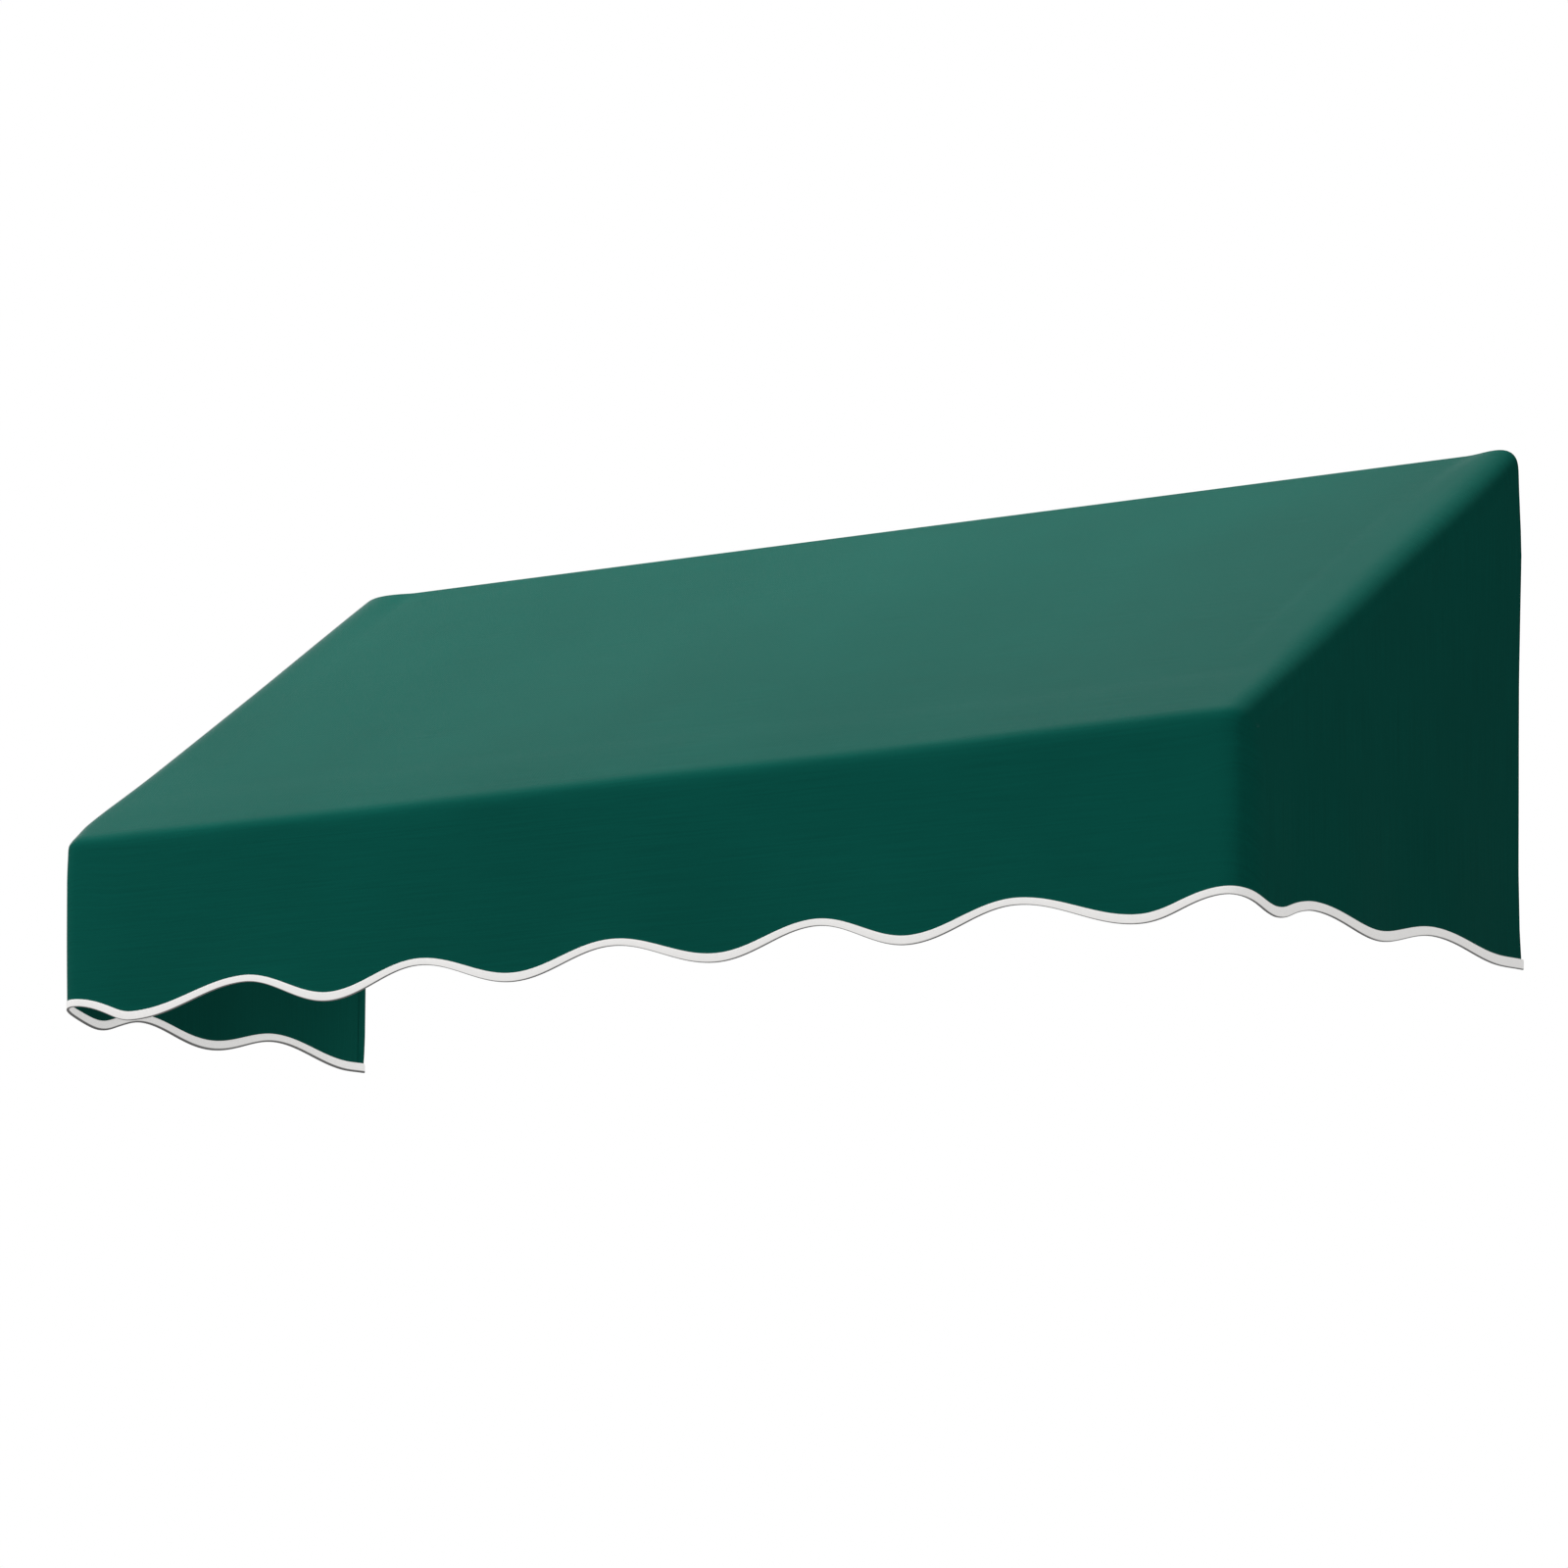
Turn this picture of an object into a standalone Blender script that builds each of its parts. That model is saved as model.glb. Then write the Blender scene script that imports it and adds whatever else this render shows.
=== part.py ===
"""Fixed window awning: a sewn cloth cover with closed sides and a wavy hem, on a frame of round tube.

Metres, +Z up. The wall is the plane y = 0 and the awning reaches out along -Y. The origin is on the
wall face of the head bracket, midway between its two screw holes.
"""
import math

import bmesh
import bpy
from mathutils import Euler, Matrix, Vector

# Overall form, measured over the outside of the cloth
WIDTH = 1.640
PROJECTION = 0.572
HEIGHT = 0.589
FRONT_DROP = 0.215

# Cloth and hem
CLOTH = 0.0020
SCALLOPS_ACROSS = 6
SCALLOPS_ASIDE = 2.5
SCALLOP_DEPTH = 0.030
SIDE_SCALLOP_DEPTH = 0.0185
SCALLOP_CROWDING = 0.70
STEPS_PER_SCALLOP = 12
CORNER_STEPS = 6
FOLD_STEPS = 4
TAPE = 0.0006
TAPE_HEIGHT = 0.010
WALL_MARGIN = 0.003

# Frame tube and cast sockets
TUBE_DIAMETER = 0.0334
TUBE_WALL = 0.0020
SIDES = 16
CASTING_WALL = 0.003
KNUCKLE_PROUD = 0.0015
SHOULDER = 0.004
SOCKET_DEPTH = 0.030
WEB = 0.004
SADDLE_LENGTH = 0.060

# Set screws and their bosses
SCREW_DIAMETER = 0.008
SCREW_LENGTH = 0.007
SCREW_KEY = 0.0022
SCREW_KEY_DEPTH = 0.004
SCREW_TIP = 0.0028
SCREW_TAPER = 0.0012
BOSS_DIAMETER = 0.013
BOSS_HEIGHT = 0.004
SCREW_SIDES = 12

# Wall plates
PLATE = 0.005
PLATE_REACH = 0.064
PLATE_CHAMFER = 0.022
PLATE_TOP = 0.012
PLATE_TRIM = 0.011
PLATE_MARGIN = 0.011
WALL_HOLE = 0.0070
HOLE_NEAR = 0.034
HOLE_FAR = 0.050
HEAD_PLATE_WIDTH = 0.112
HEAD_HOLE_SPACING = 0.084
HEAD_HOLE_DROP = 0.042
FOOT_HOLE_NEAR = 0.033
FOOT_HOLE_FAR = 0.055

# Cloth sleeves that hold the cover on the tubes
SLEEVE_CLOTH = 0.0010
SLEEVE_FLANGE = 0.014
SLEEVE_WALL_FLANGE = 0.0045
SLEEVE_END_GAP = 0.004
SLEEVE_STEPS = 8

# Space left between neighbours, and the distance under which points are one
GAP = 0.0003
MERGE = 0.00001

# The least angle between two faces that stays a sharp edge, in degrees
SHARP = 35
SLEEVE_SHARP = 50

# Values that follow from the sizes above
TUBE_R = TUBE_DIAMETER / 2
BORE_R = TUBE_R + GAP
CORE_R = BORE_R - SHOULDER
CASTING_R = BORE_R + CASTING_WALL
KNUCKLE_R = CASTING_R + KNUCKLE_PROUD
INNER_R = (KNUCKLE_R + GAP) / math.cos(math.pi / 4 / CORNER_STEPS)
EDGE_R = INNER_R + CLOTH
SLOPE = math.atan2(HEIGHT - FRONT_DROP, PROJECTION)
AXIS_X = WIDTH / 2 - EDGE_R
AXIS_FRONT_Y = -PROJECTION + EDGE_R
AXIS_WALL_Y = -PLATE - TUBE_R - SLEEVE_CLOTH - 2 * GAP
FOLD_ABOVE_HEM = FRONT_DROP - EDGE_R * (1 - math.sin(SLOPE)) / math.cos(SLOPE)
HEAD_ABOVE_HEM = FOLD_ABOVE_HEM + (AXIS_WALL_Y - AXIS_FRONT_Y) * math.tan(SLOPE)
HEM_Z = HEAD_HOLE_DROP - HEAD_ABOVE_HEM
FOLD_Z = HEM_Z + FOLD_ABOVE_HEM
HEAD_Z = HEM_Z + HEAD_ABOVE_HEM

# Directions
OUT_X = Vector((1, 0, 0))
TO_WALL = Vector((0, 1, 0))
UP = Vector((0, 0, 1))
DOWN = -UP
UP_SLOPE = Vector((0, math.cos(SLOPE), math.sin(SLOPE)))
DOWN_SLOPE = -UP_SLOPE
TOP_NORMAL = Vector((0, -math.sin(SLOPE), math.cos(SLOPE)))
FRONT_NORMAL = Vector((0, -1, 0))
BALL_TURN = Euler((0.35, 0.60, 0.20))


def clear_scene():
    """Remove whatever the file holds."""
    for old in list(bpy.data.objects):
        bpy.data.objects.remove(old, do_unlink=True)


def linear(value):
    """One sRGB channel of 0 to 255 as a linear value."""
    share = value / 255
    if share <= 0.04045:
        return share / 12.92
    return ((share + 0.055) / 1.055) ** 2.4


def finish(name, rgb, roughness, metallic):
    """A material of one colour."""
    made = bpy.data.materials.new(name)
    made.use_nodes = True
    shader = made.node_tree.nodes["Principled BSDF"]
    shader.inputs["Base Color"].default_value = [linear(v) for v in rgb] + [1.0]
    shader.inputs["Roughness"].default_value = roughness
    shader.inputs["Metallic"].default_value = metallic
    return made


def object_from(name, bm, material):
    """Close a bmesh into a named object of its own material."""
    bmesh.ops.remove_doubles(bm, verts=bm.verts, dist=MERGE)
    bmesh.ops.recalc_face_normals(bm, faces=bm.faces)
    mesh = bpy.data.meshes.new(name)
    bm.to_mesh(mesh)
    bm.free()
    made = bpy.data.objects.new(name, mesh)
    bpy.context.collection.objects.link(made)
    made.data.materials.append(material)
    return made


def round_edges(made, angle=SHARP):
    """Shade the round faces of an object smooth."""
    made.data.shade_smooth()
    made.data.set_sharp_from_angle(angle=math.radians(angle))


def off_facet(direction, axis, share):
    """A direction turned about an axis by a share of a facet, so that no two sockets share a flat."""
    return Matrix.Rotation(share * math.tau / SIDES, 3, axis) @ direction


def axis_matrix(start, axis, inside):
    """A frame at start with +Z on the axis and +X towards the inside of the awning."""
    along = axis.normalized()
    across = inside - along * inside.dot(along)
    across.normalize()
    third = along.cross(across)
    turn = Matrix((across, third, along)).transposed().to_4x4()
    return Matrix.Translation(start) @ turn


def ring(bm, place, radius, height, sides):
    """A ring of points, a flat of the polygon facing the frame's +X."""
    points = []
    for i in range(sides):
        angle = (i + 0.5) * math.tau / sides
        points.append(bm.verts.new(place @ Vector((radius * math.cos(angle), radius * math.sin(angle), height))))
    return points


def join_rings(bm, first, second):
    """Quads between two rings of as many points."""
    count = len(first)
    for i in range(count):
        j = (i + 1) % count
        bm.faces.new((first[i], first[j], second[j], second[i]))


def add_rod(bm, start, axis, inside, radius, length, sides=SIDES):
    """A closed round bar."""
    place = axis_matrix(start, axis, inside)
    low = ring(bm, place, radius, 0, sides)
    high = ring(bm, place, radius, length, sides)
    join_rings(bm, low, high)
    bm.faces.new(low)
    bm.faces.new(high)


def rod_object(start, axis, inside, radius, length, sides=SIDES):
    """A round bar as an object, for building a casting."""
    bm = bmesh.new()
    add_rod(bm, start, axis, inside, radius, length, sides)
    return object_from("shape", bm, CAST_ALUMINIUM)


def ball_object(centre, radius):
    """The round knuckle in the middle of a casting, turned so that no edge of it follows a socket."""
    bm = bmesh.new()
    bmesh.ops.create_uvsphere(bm, u_segments=SIDES, v_segments=SIDES // 2, radius=radius)
    place = Matrix.Translation(centre) @ BALL_TURN.to_matrix().to_4x4()
    bmesh.ops.transform(bm, matrix=place, verts=bm.verts)
    return object_from("shape", bm, CAST_ALUMINIUM)


def plate_object(outline):
    """A wall plate of the given outline in x and z."""
    bm = bmesh.new()
    back = [bm.verts.new((x, 0, z)) for x, z in outline]
    front = [bm.verts.new((x, -PLATE, z)) for x, z in outline]
    join_rings(bm, back, front)
    bm.faces.new(back)
    bm.faces.new(front)
    return object_from("shape", bm, CAST_ALUMINIUM)


def combine(name, solids, cuts):
    """Union the solids, take away the cuts, and keep the result as one named object."""
    body = solids[0]
    for operation, tools in (("UNION", solids[1:]), ("DIFFERENCE", cuts)):
        for tool in tools:
            step = body.modifiers.new("step", "BOOLEAN")
            step.operation = operation
            step.solver = "EXACT"
            step.object = tool
    graph = bpy.context.evaluated_depsgraph_get()
    mesh = bpy.data.meshes.new_from_object(body.evaluated_get(graph))
    for used in solids + cuts:
        bpy.data.objects.remove(used, do_unlink=True)
    mesh.name = name
    made = bpy.data.objects.new(name, mesh)
    bpy.context.collection.objects.link(made)
    round_edges(made)
    return made


def socket_start(angle):
    """How far from the knuckle two tubes at this angle can start and leave a web between their bores."""
    return (BORE_R * (1 + math.cos(angle)) + WEB) / math.sin(angle)


START_SQUARE = socket_start(math.pi / 2)
START_FRONT = socket_start(SLOPE)
START_HEAD = socket_start(math.pi / 2 - SLOPE)


def tube(name, start, end, inside):
    """A round aluminium tube, open at both ends."""
    bm = bmesh.new()
    place = axis_matrix(start, end - start, inside)
    length = (end - start).length
    outer_low = ring(bm, place, TUBE_R, 0, SIDES)
    outer_high = ring(bm, place, TUBE_R, length, SIDES)
    inner_low = ring(bm, place, TUBE_R - TUBE_WALL, 0, SIDES)
    inner_high = ring(bm, place, TUBE_R - TUBE_WALL, length, SIDES)
    join_rings(bm, outer_low, outer_high)
    join_rings(bm, outer_high, inner_high)
    join_rings(bm, inner_high, inner_low)
    join_rings(bm, inner_low, outer_low)
    round_edges(object_from(name, bm, TUBE_ALUMINIUM))


def beside(direction):
    """A direction that isn't along the given one."""
    return OUT_X if abs(direction.x) < abs(direction.z) + abs(direction.y) else UP


def set_screw(name, seat, inside):
    """A headless screw with a round key hole, its tip just clear of the tube."""
    bm = bmesh.new()
    place = axis_matrix(seat + inside * (TUBE_R * math.cos(math.pi / SIDES) + GAP), inside, beside(inside))
    radius = SCREW_DIAMETER / 2
    tip = ring(bm, place, SCREW_TIP, 0, SCREW_SIDES)
    shoulder = ring(bm, place, radius, SCREW_TAPER, SCREW_SIDES)
    top = ring(bm, place, radius, SCREW_LENGTH, SCREW_SIDES)
    mouth = ring(bm, place, SCREW_KEY, SCREW_LENGTH, SCREW_SIDES)
    floor = ring(bm, place, SCREW_KEY, SCREW_LENGTH - SCREW_KEY_DEPTH, SCREW_SIDES)
    join_rings(bm, tip, shoulder)
    join_rings(bm, shoulder, top)
    join_rings(bm, top, mouth)
    join_rings(bm, mouth, floor)
    bm.faces.new(tip)
    bm.faces.new(floor)
    round_edges(object_from(name, bm, SCREW_STEEL))


def casting(name, node, sockets, saddle=None, plate=None, wall_holes=()):
    """A cast fitting at a node of the frame.

    sockets lists (axis, inside, start): each has a shoulder that stops its tube, is cored out behind
    it, and is clamped by a set screw. saddle is the inside direction of a sleeve that the cross tube
    runs right through.
    """
    solids = []
    cuts = []
    seats = []
    if saddle is None:
        solids.append(ball_object(node, KNUCKLE_R))
    else:
        reach = SADDLE_LENGTH / 2
        solids.append(rod_object(node - OUT_X * reach, OUT_X, saddle, KNUCKLE_R, SADDLE_LENGTH))
        cuts.append(rod_object(node - OUT_X * 2 * reach, OUT_X, saddle, BORE_R, 2 * SADDLE_LENGTH))
        seats.append((node, saddle))
    for axis, inside, start in sockets:
        solids.append(rod_object(node, axis, inside, CASTING_R, start + SOCKET_DEPTH))
        cuts.append(rod_object(node + axis * start, axis, inside, BORE_R, 2 * SOCKET_DEPTH))
        behind = CORE_R / 2
        cuts.append(rod_object(node - axis * behind, axis, inside, CORE_R, start + 2 * behind))
        seats.append((node + axis * (start + SOCKET_DEPTH / 2), inside))
    if plate:
        solids.append(plate_object(plate))
    for number, (seat, inside) in enumerate(seats, 1):
        side = beside(inside)
        low = seat + inside * CORE_R
        height = CASTING_R + BOSS_HEIGHT - CORE_R
        solids.append(rod_object(low, inside, side, BOSS_DIAMETER / 2, height, SCREW_SIDES))
        hole = SCREW_DIAMETER / 2 + GAP
        cuts.append(rod_object(low - inside * WEB, inside, side, hole, height + 2 * WEB, SCREW_SIDES))
        set_screw(f"{name}_screw_{number}", seat, inside)
    for x, z in wall_holes:
        start = Vector((x, 2 * PLATE, z))
        cuts.append(rod_object(start, FRONT_NORMAL, UP, WALL_HOLE / 2, 4 * PLATE, SCREW_SIDES))
    combine(name, solids, cuts)


def hem_height(s):
    """Height of the hem over its lowest point, s metres round the outside from the middle of the front."""
    s = abs(s)
    corner = AXIS_X + EDGE_R * math.pi / 4
    pitch = 2 * corner / SCALLOPS_ACROSS
    if s <= corner:
        depth = SCALLOP_DEPTH if s < corner - pitch / 2 else SIDE_SCALLOP_DEPTH
        return depth * (0.5 + 0.5 * math.cos(math.tau * (s - corner) / pitch))
    share = (s - corner) / (EDGE_R * math.pi / 4 - AXIS_FRONT_Y)
    return SIDE_SCALLOP_DEPTH * (0.5 + 0.5 * math.cos(math.tau * SCALLOPS_ASIDE * share ** SCALLOP_CROWDING))


def front_stations():
    """Plan stations across the cover: (x of the core, turn towards the side, distance round the outside)."""
    count = SCALLOPS_ACROSS * STEPS_PER_SCALLOP
    flat = [-AXIS_X + 2 * AXIS_X * i / count for i in range(count + 1)]
    turns = [math.pi / 2 * i / CORNER_STEPS for i in range(1, CORNER_STEPS + 1)]
    left = [(-AXIS_X, -turn, -AXIS_X - EDGE_R * turn) for turn in reversed(turns)]
    right = [(AXIS_X, turn, AXIS_X + EDGE_R * turn) for turn in turns]
    return left + [(x, 0.0, x) for x in flat] + right


def side_stations(front_y, wall_y):
    """Plan stations along a side panel: (y, distance round the outside)."""
    count = math.ceil(SCALLOPS_ASIDE * STEPS_PER_SCALLOP)
    corner = AXIS_X + EDGE_R * math.pi / 2
    made = []
    for i in range(count + 1):
        y = AXIS_FRONT_Y * (1 - (i / count) ** (1 / SCALLOP_CROWDING))
        made.append(min(max(y, front_y), wall_y))
    return [(y, corner + y - AXIS_FRONT_Y) for y in made]


def shell(name, rows_of, rows, stations):
    """A sheet of cloth: rows_of(row, station, radius) gives its outer and inner points."""
    bm = bmesh.new()
    outer = [[bm.verts.new(rows_of(row, station, EDGE_R)) for station in stations] for row in rows]
    inner = [[bm.verts.new(rows_of(row, station, INNER_R)) for station in stations] for row in rows]
    last_row = len(rows) - 1
    last = len(stations) - 1
    for i in range(last_row):
        for j in range(last):
            bm.faces.new((outer[i][j], outer[i + 1][j], outer[i + 1][j + 1], outer[i][j + 1]))
            bm.faces.new((inner[i][j], inner[i][j + 1], inner[i + 1][j + 1], inner[i + 1][j]))
    for j in range(last):
        bm.faces.new((outer[0][j], outer[0][j + 1], inner[0][j + 1], inner[0][j]))
        bm.faces.new((outer[last_row][j], inner[last_row][j], inner[last_row][j + 1], outer[last_row][j + 1]))
    for i in range(last_row):
        bm.faces.new((outer[i][0], inner[i][0], inner[i + 1][0], outer[i + 1][0]))
        bm.faces.new((outer[i][last], outer[i + 1][last], inner[i + 1][last], inner[i][last]))
    round_edges(object_from(name, bm, CLOTH_GREEN))


def cover():
    """Top and front in one run of cloth, turned down round the rafters and the front corners."""
    slack = TAPE + GAP

    def point(row, station, radius):
        kind, turn = row
        x, side_turn, s = station
        facing = Vector((0, -math.sin(turn), math.cos(turn)))
        shift = facing * math.cos(side_turn) + OUT_X * math.sin(side_turn)
        if kind == "wall":
            made = Vector((x, AXIS_WALL_Y, HEAD_Z)) + shift * radius
            back = (-WALL_MARGIN - made.y) / UP_SLOPE.y
            return made + UP_SLOPE * back
        made = Vector((x, AXIS_FRONT_Y, FOLD_Z)) + shift * radius
        if kind == "hem":
            made.z = HEM_Z + hem_height(s) + slack
        return made

    bend = [("fold", SLOPE + (math.pi / 2 - SLOPE) * i / FOLD_STEPS) for i in range(FOLD_STEPS + 1)]
    rows = [("wall", SLOPE)] + bend + [("hem", math.pi / 2)]
    shell("cover", point, rows, front_stations())


def side_panel(name, sign):
    """One closed side, with its hem cut to the wave."""
    slack = TAPE + GAP
    stations = side_stations(AXIS_FRONT_Y + GAP, -WALL_MARGIN)
    outline = [(y, HEM_Z + hem_height(s) + slack) for y, s in stations]
    edge_drop = GAP / math.cos(SLOPE)
    wall_top = HEAD_Z + (-WALL_MARGIN - AXIS_WALL_Y) * math.tan(SLOPE) - edge_drop
    front_top = FOLD_Z + GAP * math.tan(SLOPE) - edge_drop
    outline += [(-WALL_MARGIN, wall_top), (AXIS_FRONT_Y + GAP, front_top)]
    bm = bmesh.new()
    outside = [bm.verts.new((sign * WIDTH / 2, y, z)) for y, z in outline]
    inside = [bm.verts.new((sign * (WIDTH / 2 - CLOTH), y, z)) for y, z in outline]
    join_rings(bm, outside, inside)
    bm.faces.new(outside)
    bm.faces.new(inside)
    object_from(name, bm, CLOTH_GREEN)


def hem_binding():
    """Tape folded over the raw hem, in one run from wall to wall."""
    middle = EDGE_R - CLOTH / 2
    path = []
    for y, s in reversed(side_stations(AXIS_FRONT_Y, -GAP)[1:]):
        path.append((Vector((-AXIS_X - middle, y, 0)), -OUT_X, s))
    for x, turn, s in front_stations():
        facing = Vector((math.sin(turn), -math.cos(turn), 0))
        path.append((Vector((x, AXIS_FRONT_Y, 0)) + facing * middle, facing, s))
    for y, s in side_stations(AXIS_FRONT_Y, -GAP)[1:]:
        path.append((Vector((AXIS_X + middle, y, 0)), OUT_X, s))
    near = CLOTH / 2 + GAP
    far = near + TAPE
    section = [(far, TAPE_HEIGHT), (far, 0), (-far, 0), (-far, TAPE_HEIGHT)]
    section += [(-near, TAPE_HEIGHT), (-near, TAPE), (near, TAPE), (near, TAPE_HEIGHT)]
    bm = bmesh.new()
    loops = []
    for place, facing, s in path:
        level = HEM_Z + hem_height(s)
        loops.append([bm.verts.new(place + facing * out + UP * (level + rise)) for out, rise in section])
    for first, second in zip(loops, loops[1:]):
        join_rings(bm, first, second)
    bm.faces.new(loops[0])
    bm.faces.new(loops[-1])
    object_from("hem_binding", bm, TAPE_WHITE)


def sleeve(name, start, end, first, second, flanges):
    """A strip of cloth sewn under the cover and looped round a tube.

    first and second are (along, normal) of the cloth on either side of the tube.
    """
    loop_r = TUBE_R + GAP + SLEEVE_CLOTH / 2
    reach = INNER_R - GAP - SLEEVE_CLOTH / 2
    along_a, normal_a = first
    along_b, normal_b = second
    path = [along_a * (loop_r + flanges[0]) + normal_a * reach, along_a * loop_r + normal_a * reach]
    below = -(normal_a + normal_b).normalized()
    half = along_a.angle(below)
    for i in range(SLEEVE_STEPS + 1):
        turn = half * i / SLEEVE_STEPS
        path.append(along_a * loop_r * math.sin(half - turn) / math.sin(half)
                    + below * loop_r * math.sin(turn) / math.sin(half))
    for i in range(1, SLEEVE_STEPS + 1):
        turn = half * i / SLEEVE_STEPS
        path.append(below * loop_r * math.sin(half - turn) / math.sin(half)
                    + along_b * loop_r * math.sin(turn) / math.sin(half))
    path += [along_b * loop_r + normal_b * reach, along_b * (loop_r + flanges[1]) + normal_b * reach]
    axis = (end - start).normalized()
    left = []
    right = []
    for i, point in enumerate(path):
        into = (point - path[i - 1]).normalized() if i else None
        away = (path[i + 1] - point).normalized() if i + 1 < len(path) else None
        into = into or away
        away = away or into
        normal = axis.cross(into + away).normalized()
        spread = SLEEVE_CLOTH / 2 / normal.dot(axis.cross(into))
        left.append(point + normal * spread)
        right.append(point - normal * spread)
    section = left + right[::-1]
    bm = bmesh.new()
    low = [bm.verts.new(start + point) for point in section]
    high = [bm.verts.new(end + point) for point in section]
    join_rings(bm, low, high)
    bm.faces.new(low)
    bm.faces.new(high)
    round_edges(object_from(name, bm, SLEEVE_GREEN), SLEEVE_SHARP)


def corner_plate(sign):
    """Outline of a top corner's wall plate, cut across at the end away from the sockets."""
    outer = AXIS_X + CASTING_R
    inner = AXIS_X - PLATE_REACH
    top = HEAD_Z + PLATE_TOP
    bottom = HEAD_Z - PLATE_REACH
    points = [(outer, top), (outer, bottom), (inner + PLATE_CHAMFER, bottom)]
    points += [(inner, bottom + PLATE_CHAMFER), (inner, top)]
    return [(sign * x, z) for x, z in points]


def head_plate():
    """Outline of the head bracket's wall plate."""
    half = HEAD_PLATE_WIDTH / 2
    bottom = HEAD_Z - PLATE_REACH
    points = [(half, HEAD_Z - BORE_R), (half, bottom + PLATE_TRIM), (half - PLATE_TRIM, bottom)]
    points += [(PLATE_TRIM - half, bottom), (-half, bottom + PLATE_TRIM), (-half, HEAD_Z - BORE_R)]
    shoulder = SADDLE_LENGTH / 2
    return points + [(-shoulder, HEAD_Z), (shoulder, HEAD_Z)]


def foot_plate(sign):
    """Outline of a lower corner's wall plate."""
    outer = AXIS_X + CASTING_R
    inner = AXIS_X - CASTING_R
    bottom = FOLD_Z - FOOT_HOLE_FAR - PLATE_MARGIN
    points = [(outer, FOLD_Z + CASTING_R), (outer, bottom + PLATE_TRIM), (outer - PLATE_TRIM, bottom)]
    points += [(inner + PLATE_TRIM, bottom), (inner, bottom + PLATE_TRIM), (inner, FOLD_Z + CASTING_R)]
    return [(sign * x, z) for x, z in points]


def side_frame(word, sign):
    """The castings and tubes of one end of the frame."""
    inward = -OUT_X * sign
    front = Vector((sign * AXIS_X, AXIS_FRONT_Y, FOLD_Z))
    head = Vector((sign * AXIS_X, AXIS_WALL_Y, HEAD_Z))
    foot = Vector((sign * AXIS_X, AXIS_WALL_Y, FOLD_Z))
    arm_side = off_facet(inward, TO_WALL, 1 / 2)
    post_side = off_facet(inward, UP, 1 / 4)
    casting(f"front_corner_{word}", front,
            [(inward, DOWN, START_SQUARE), (UP_SLOPE, inward, START_FRONT), (TO_WALL, arm_side, START_FRONT)])
    near = AXIS_X - HOLE_NEAR
    far = AXIS_X - HOLE_FAR
    casting(f"head_corner_{word}", head,
            [(inward, DOWN, START_SQUARE), (DOWN_SLOPE, inward, START_HEAD), (DOWN, post_side, START_HEAD)],
            plate=corner_plate(sign),
            wall_holes=[(sign * far, HEAD_Z - HOLE_NEAR), (sign * near, HEAD_Z - HOLE_FAR)])
    casting(f"foot_corner_{word}", foot,
            [(UP, post_side, START_SQUARE), (-TO_WALL, arm_side, START_SQUARE)],
            plate=foot_plate(sign),
            wall_holes=[(foot.x, FOLD_Z - FOOT_HOLE_NEAR), (foot.x, FOLD_Z - FOOT_HOLE_FAR)])
    tube(f"rafter_{word}", front + UP_SLOPE * (START_FRONT + GAP), head - UP_SLOPE * (START_HEAD + GAP), inward)
    tube(f"side_arm_{word}", front + TO_WALL * (START_FRONT + GAP), foot - TO_WALL * (START_SQUARE + GAP), arm_side)
    tube(f"wall_post_{word}", foot + UP * (START_SQUARE + GAP), head - UP * (START_HEAD + GAP), post_side)
    post_low = foot + UP * (START_SQUARE + SOCKET_DEPTH + SLEEVE_END_GAP)
    post_high = head - UP * (START_HEAD + SOCKET_DEPTH + SLEEVE_END_GAP)
    sleeve(f"post_sleeve_{word}", post_low, post_high, (TO_WALL, -inward), (-TO_WALL, -inward),
           (SLEEVE_WALL_FLANGE, SLEEVE_FLANGE))


def cross_frame():
    """The tubes that run across, the middle rafter and the two castings that carry it."""
    head = Vector((0, AXIS_WALL_Y, HEAD_Z))
    front = Vector((0, AXIS_FRONT_Y, FOLD_Z))
    reach = OUT_X * (AXIS_X - START_SQUARE - GAP)
    tube("head_rail", head - reach, head + reach, DOWN)
    tube("front_bar", front - reach, front + reach, DOWN)
    inside = -TOP_NORMAL
    half = HEAD_HOLE_SPACING / 2
    hole_z = HEAD_Z - HEAD_HOLE_DROP
    casting("head_bracket", head, [(DOWN_SLOPE, OUT_X, START_SQUARE)], saddle=DOWN,
            plate=head_plate(), wall_holes=[(-half, hole_z), (half, hole_z)])
    casting("front_tee", front, [(UP_SLOPE, inside, START_SQUARE)], saddle=DOWN)
    tube("rafter_middle", front + UP_SLOPE * (START_SQUARE + GAP), head - UP_SLOPE * (START_SQUARE + GAP), inside)
    inner_end = SADDLE_LENGTH / 2 + SLEEVE_END_GAP
    outer_end = AXIS_X - START_SQUARE - SOCKET_DEPTH - SLEEVE_END_GAP
    plate_end = HEAD_PLATE_WIDTH / 2 + SLEEVE_END_GAP
    for word, sign in (("left", -1), ("right", 1)):
        low = min(sign * plate_end, sign * outer_end)
        high = max(sign * plate_end, sign * outer_end)
        sleeve(f"head_sleeve_{word}", head + OUT_X * low, head + OUT_X * high,
               (UP_SLOPE, TOP_NORMAL), (DOWN_SLOPE, TOP_NORMAL), (SLEEVE_FLANGE, SLEEVE_FLANGE))
        low = min(sign * inner_end, sign * outer_end)
        high = max(sign * inner_end, sign * outer_end)
        sleeve(f"front_sleeve_{word}", front + OUT_X * low, front + OUT_X * high,
               (UP_SLOPE, TOP_NORMAL), (DOWN, FRONT_NORMAL), (SLEEVE_FLANGE, SLEEVE_FLANGE))


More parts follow.
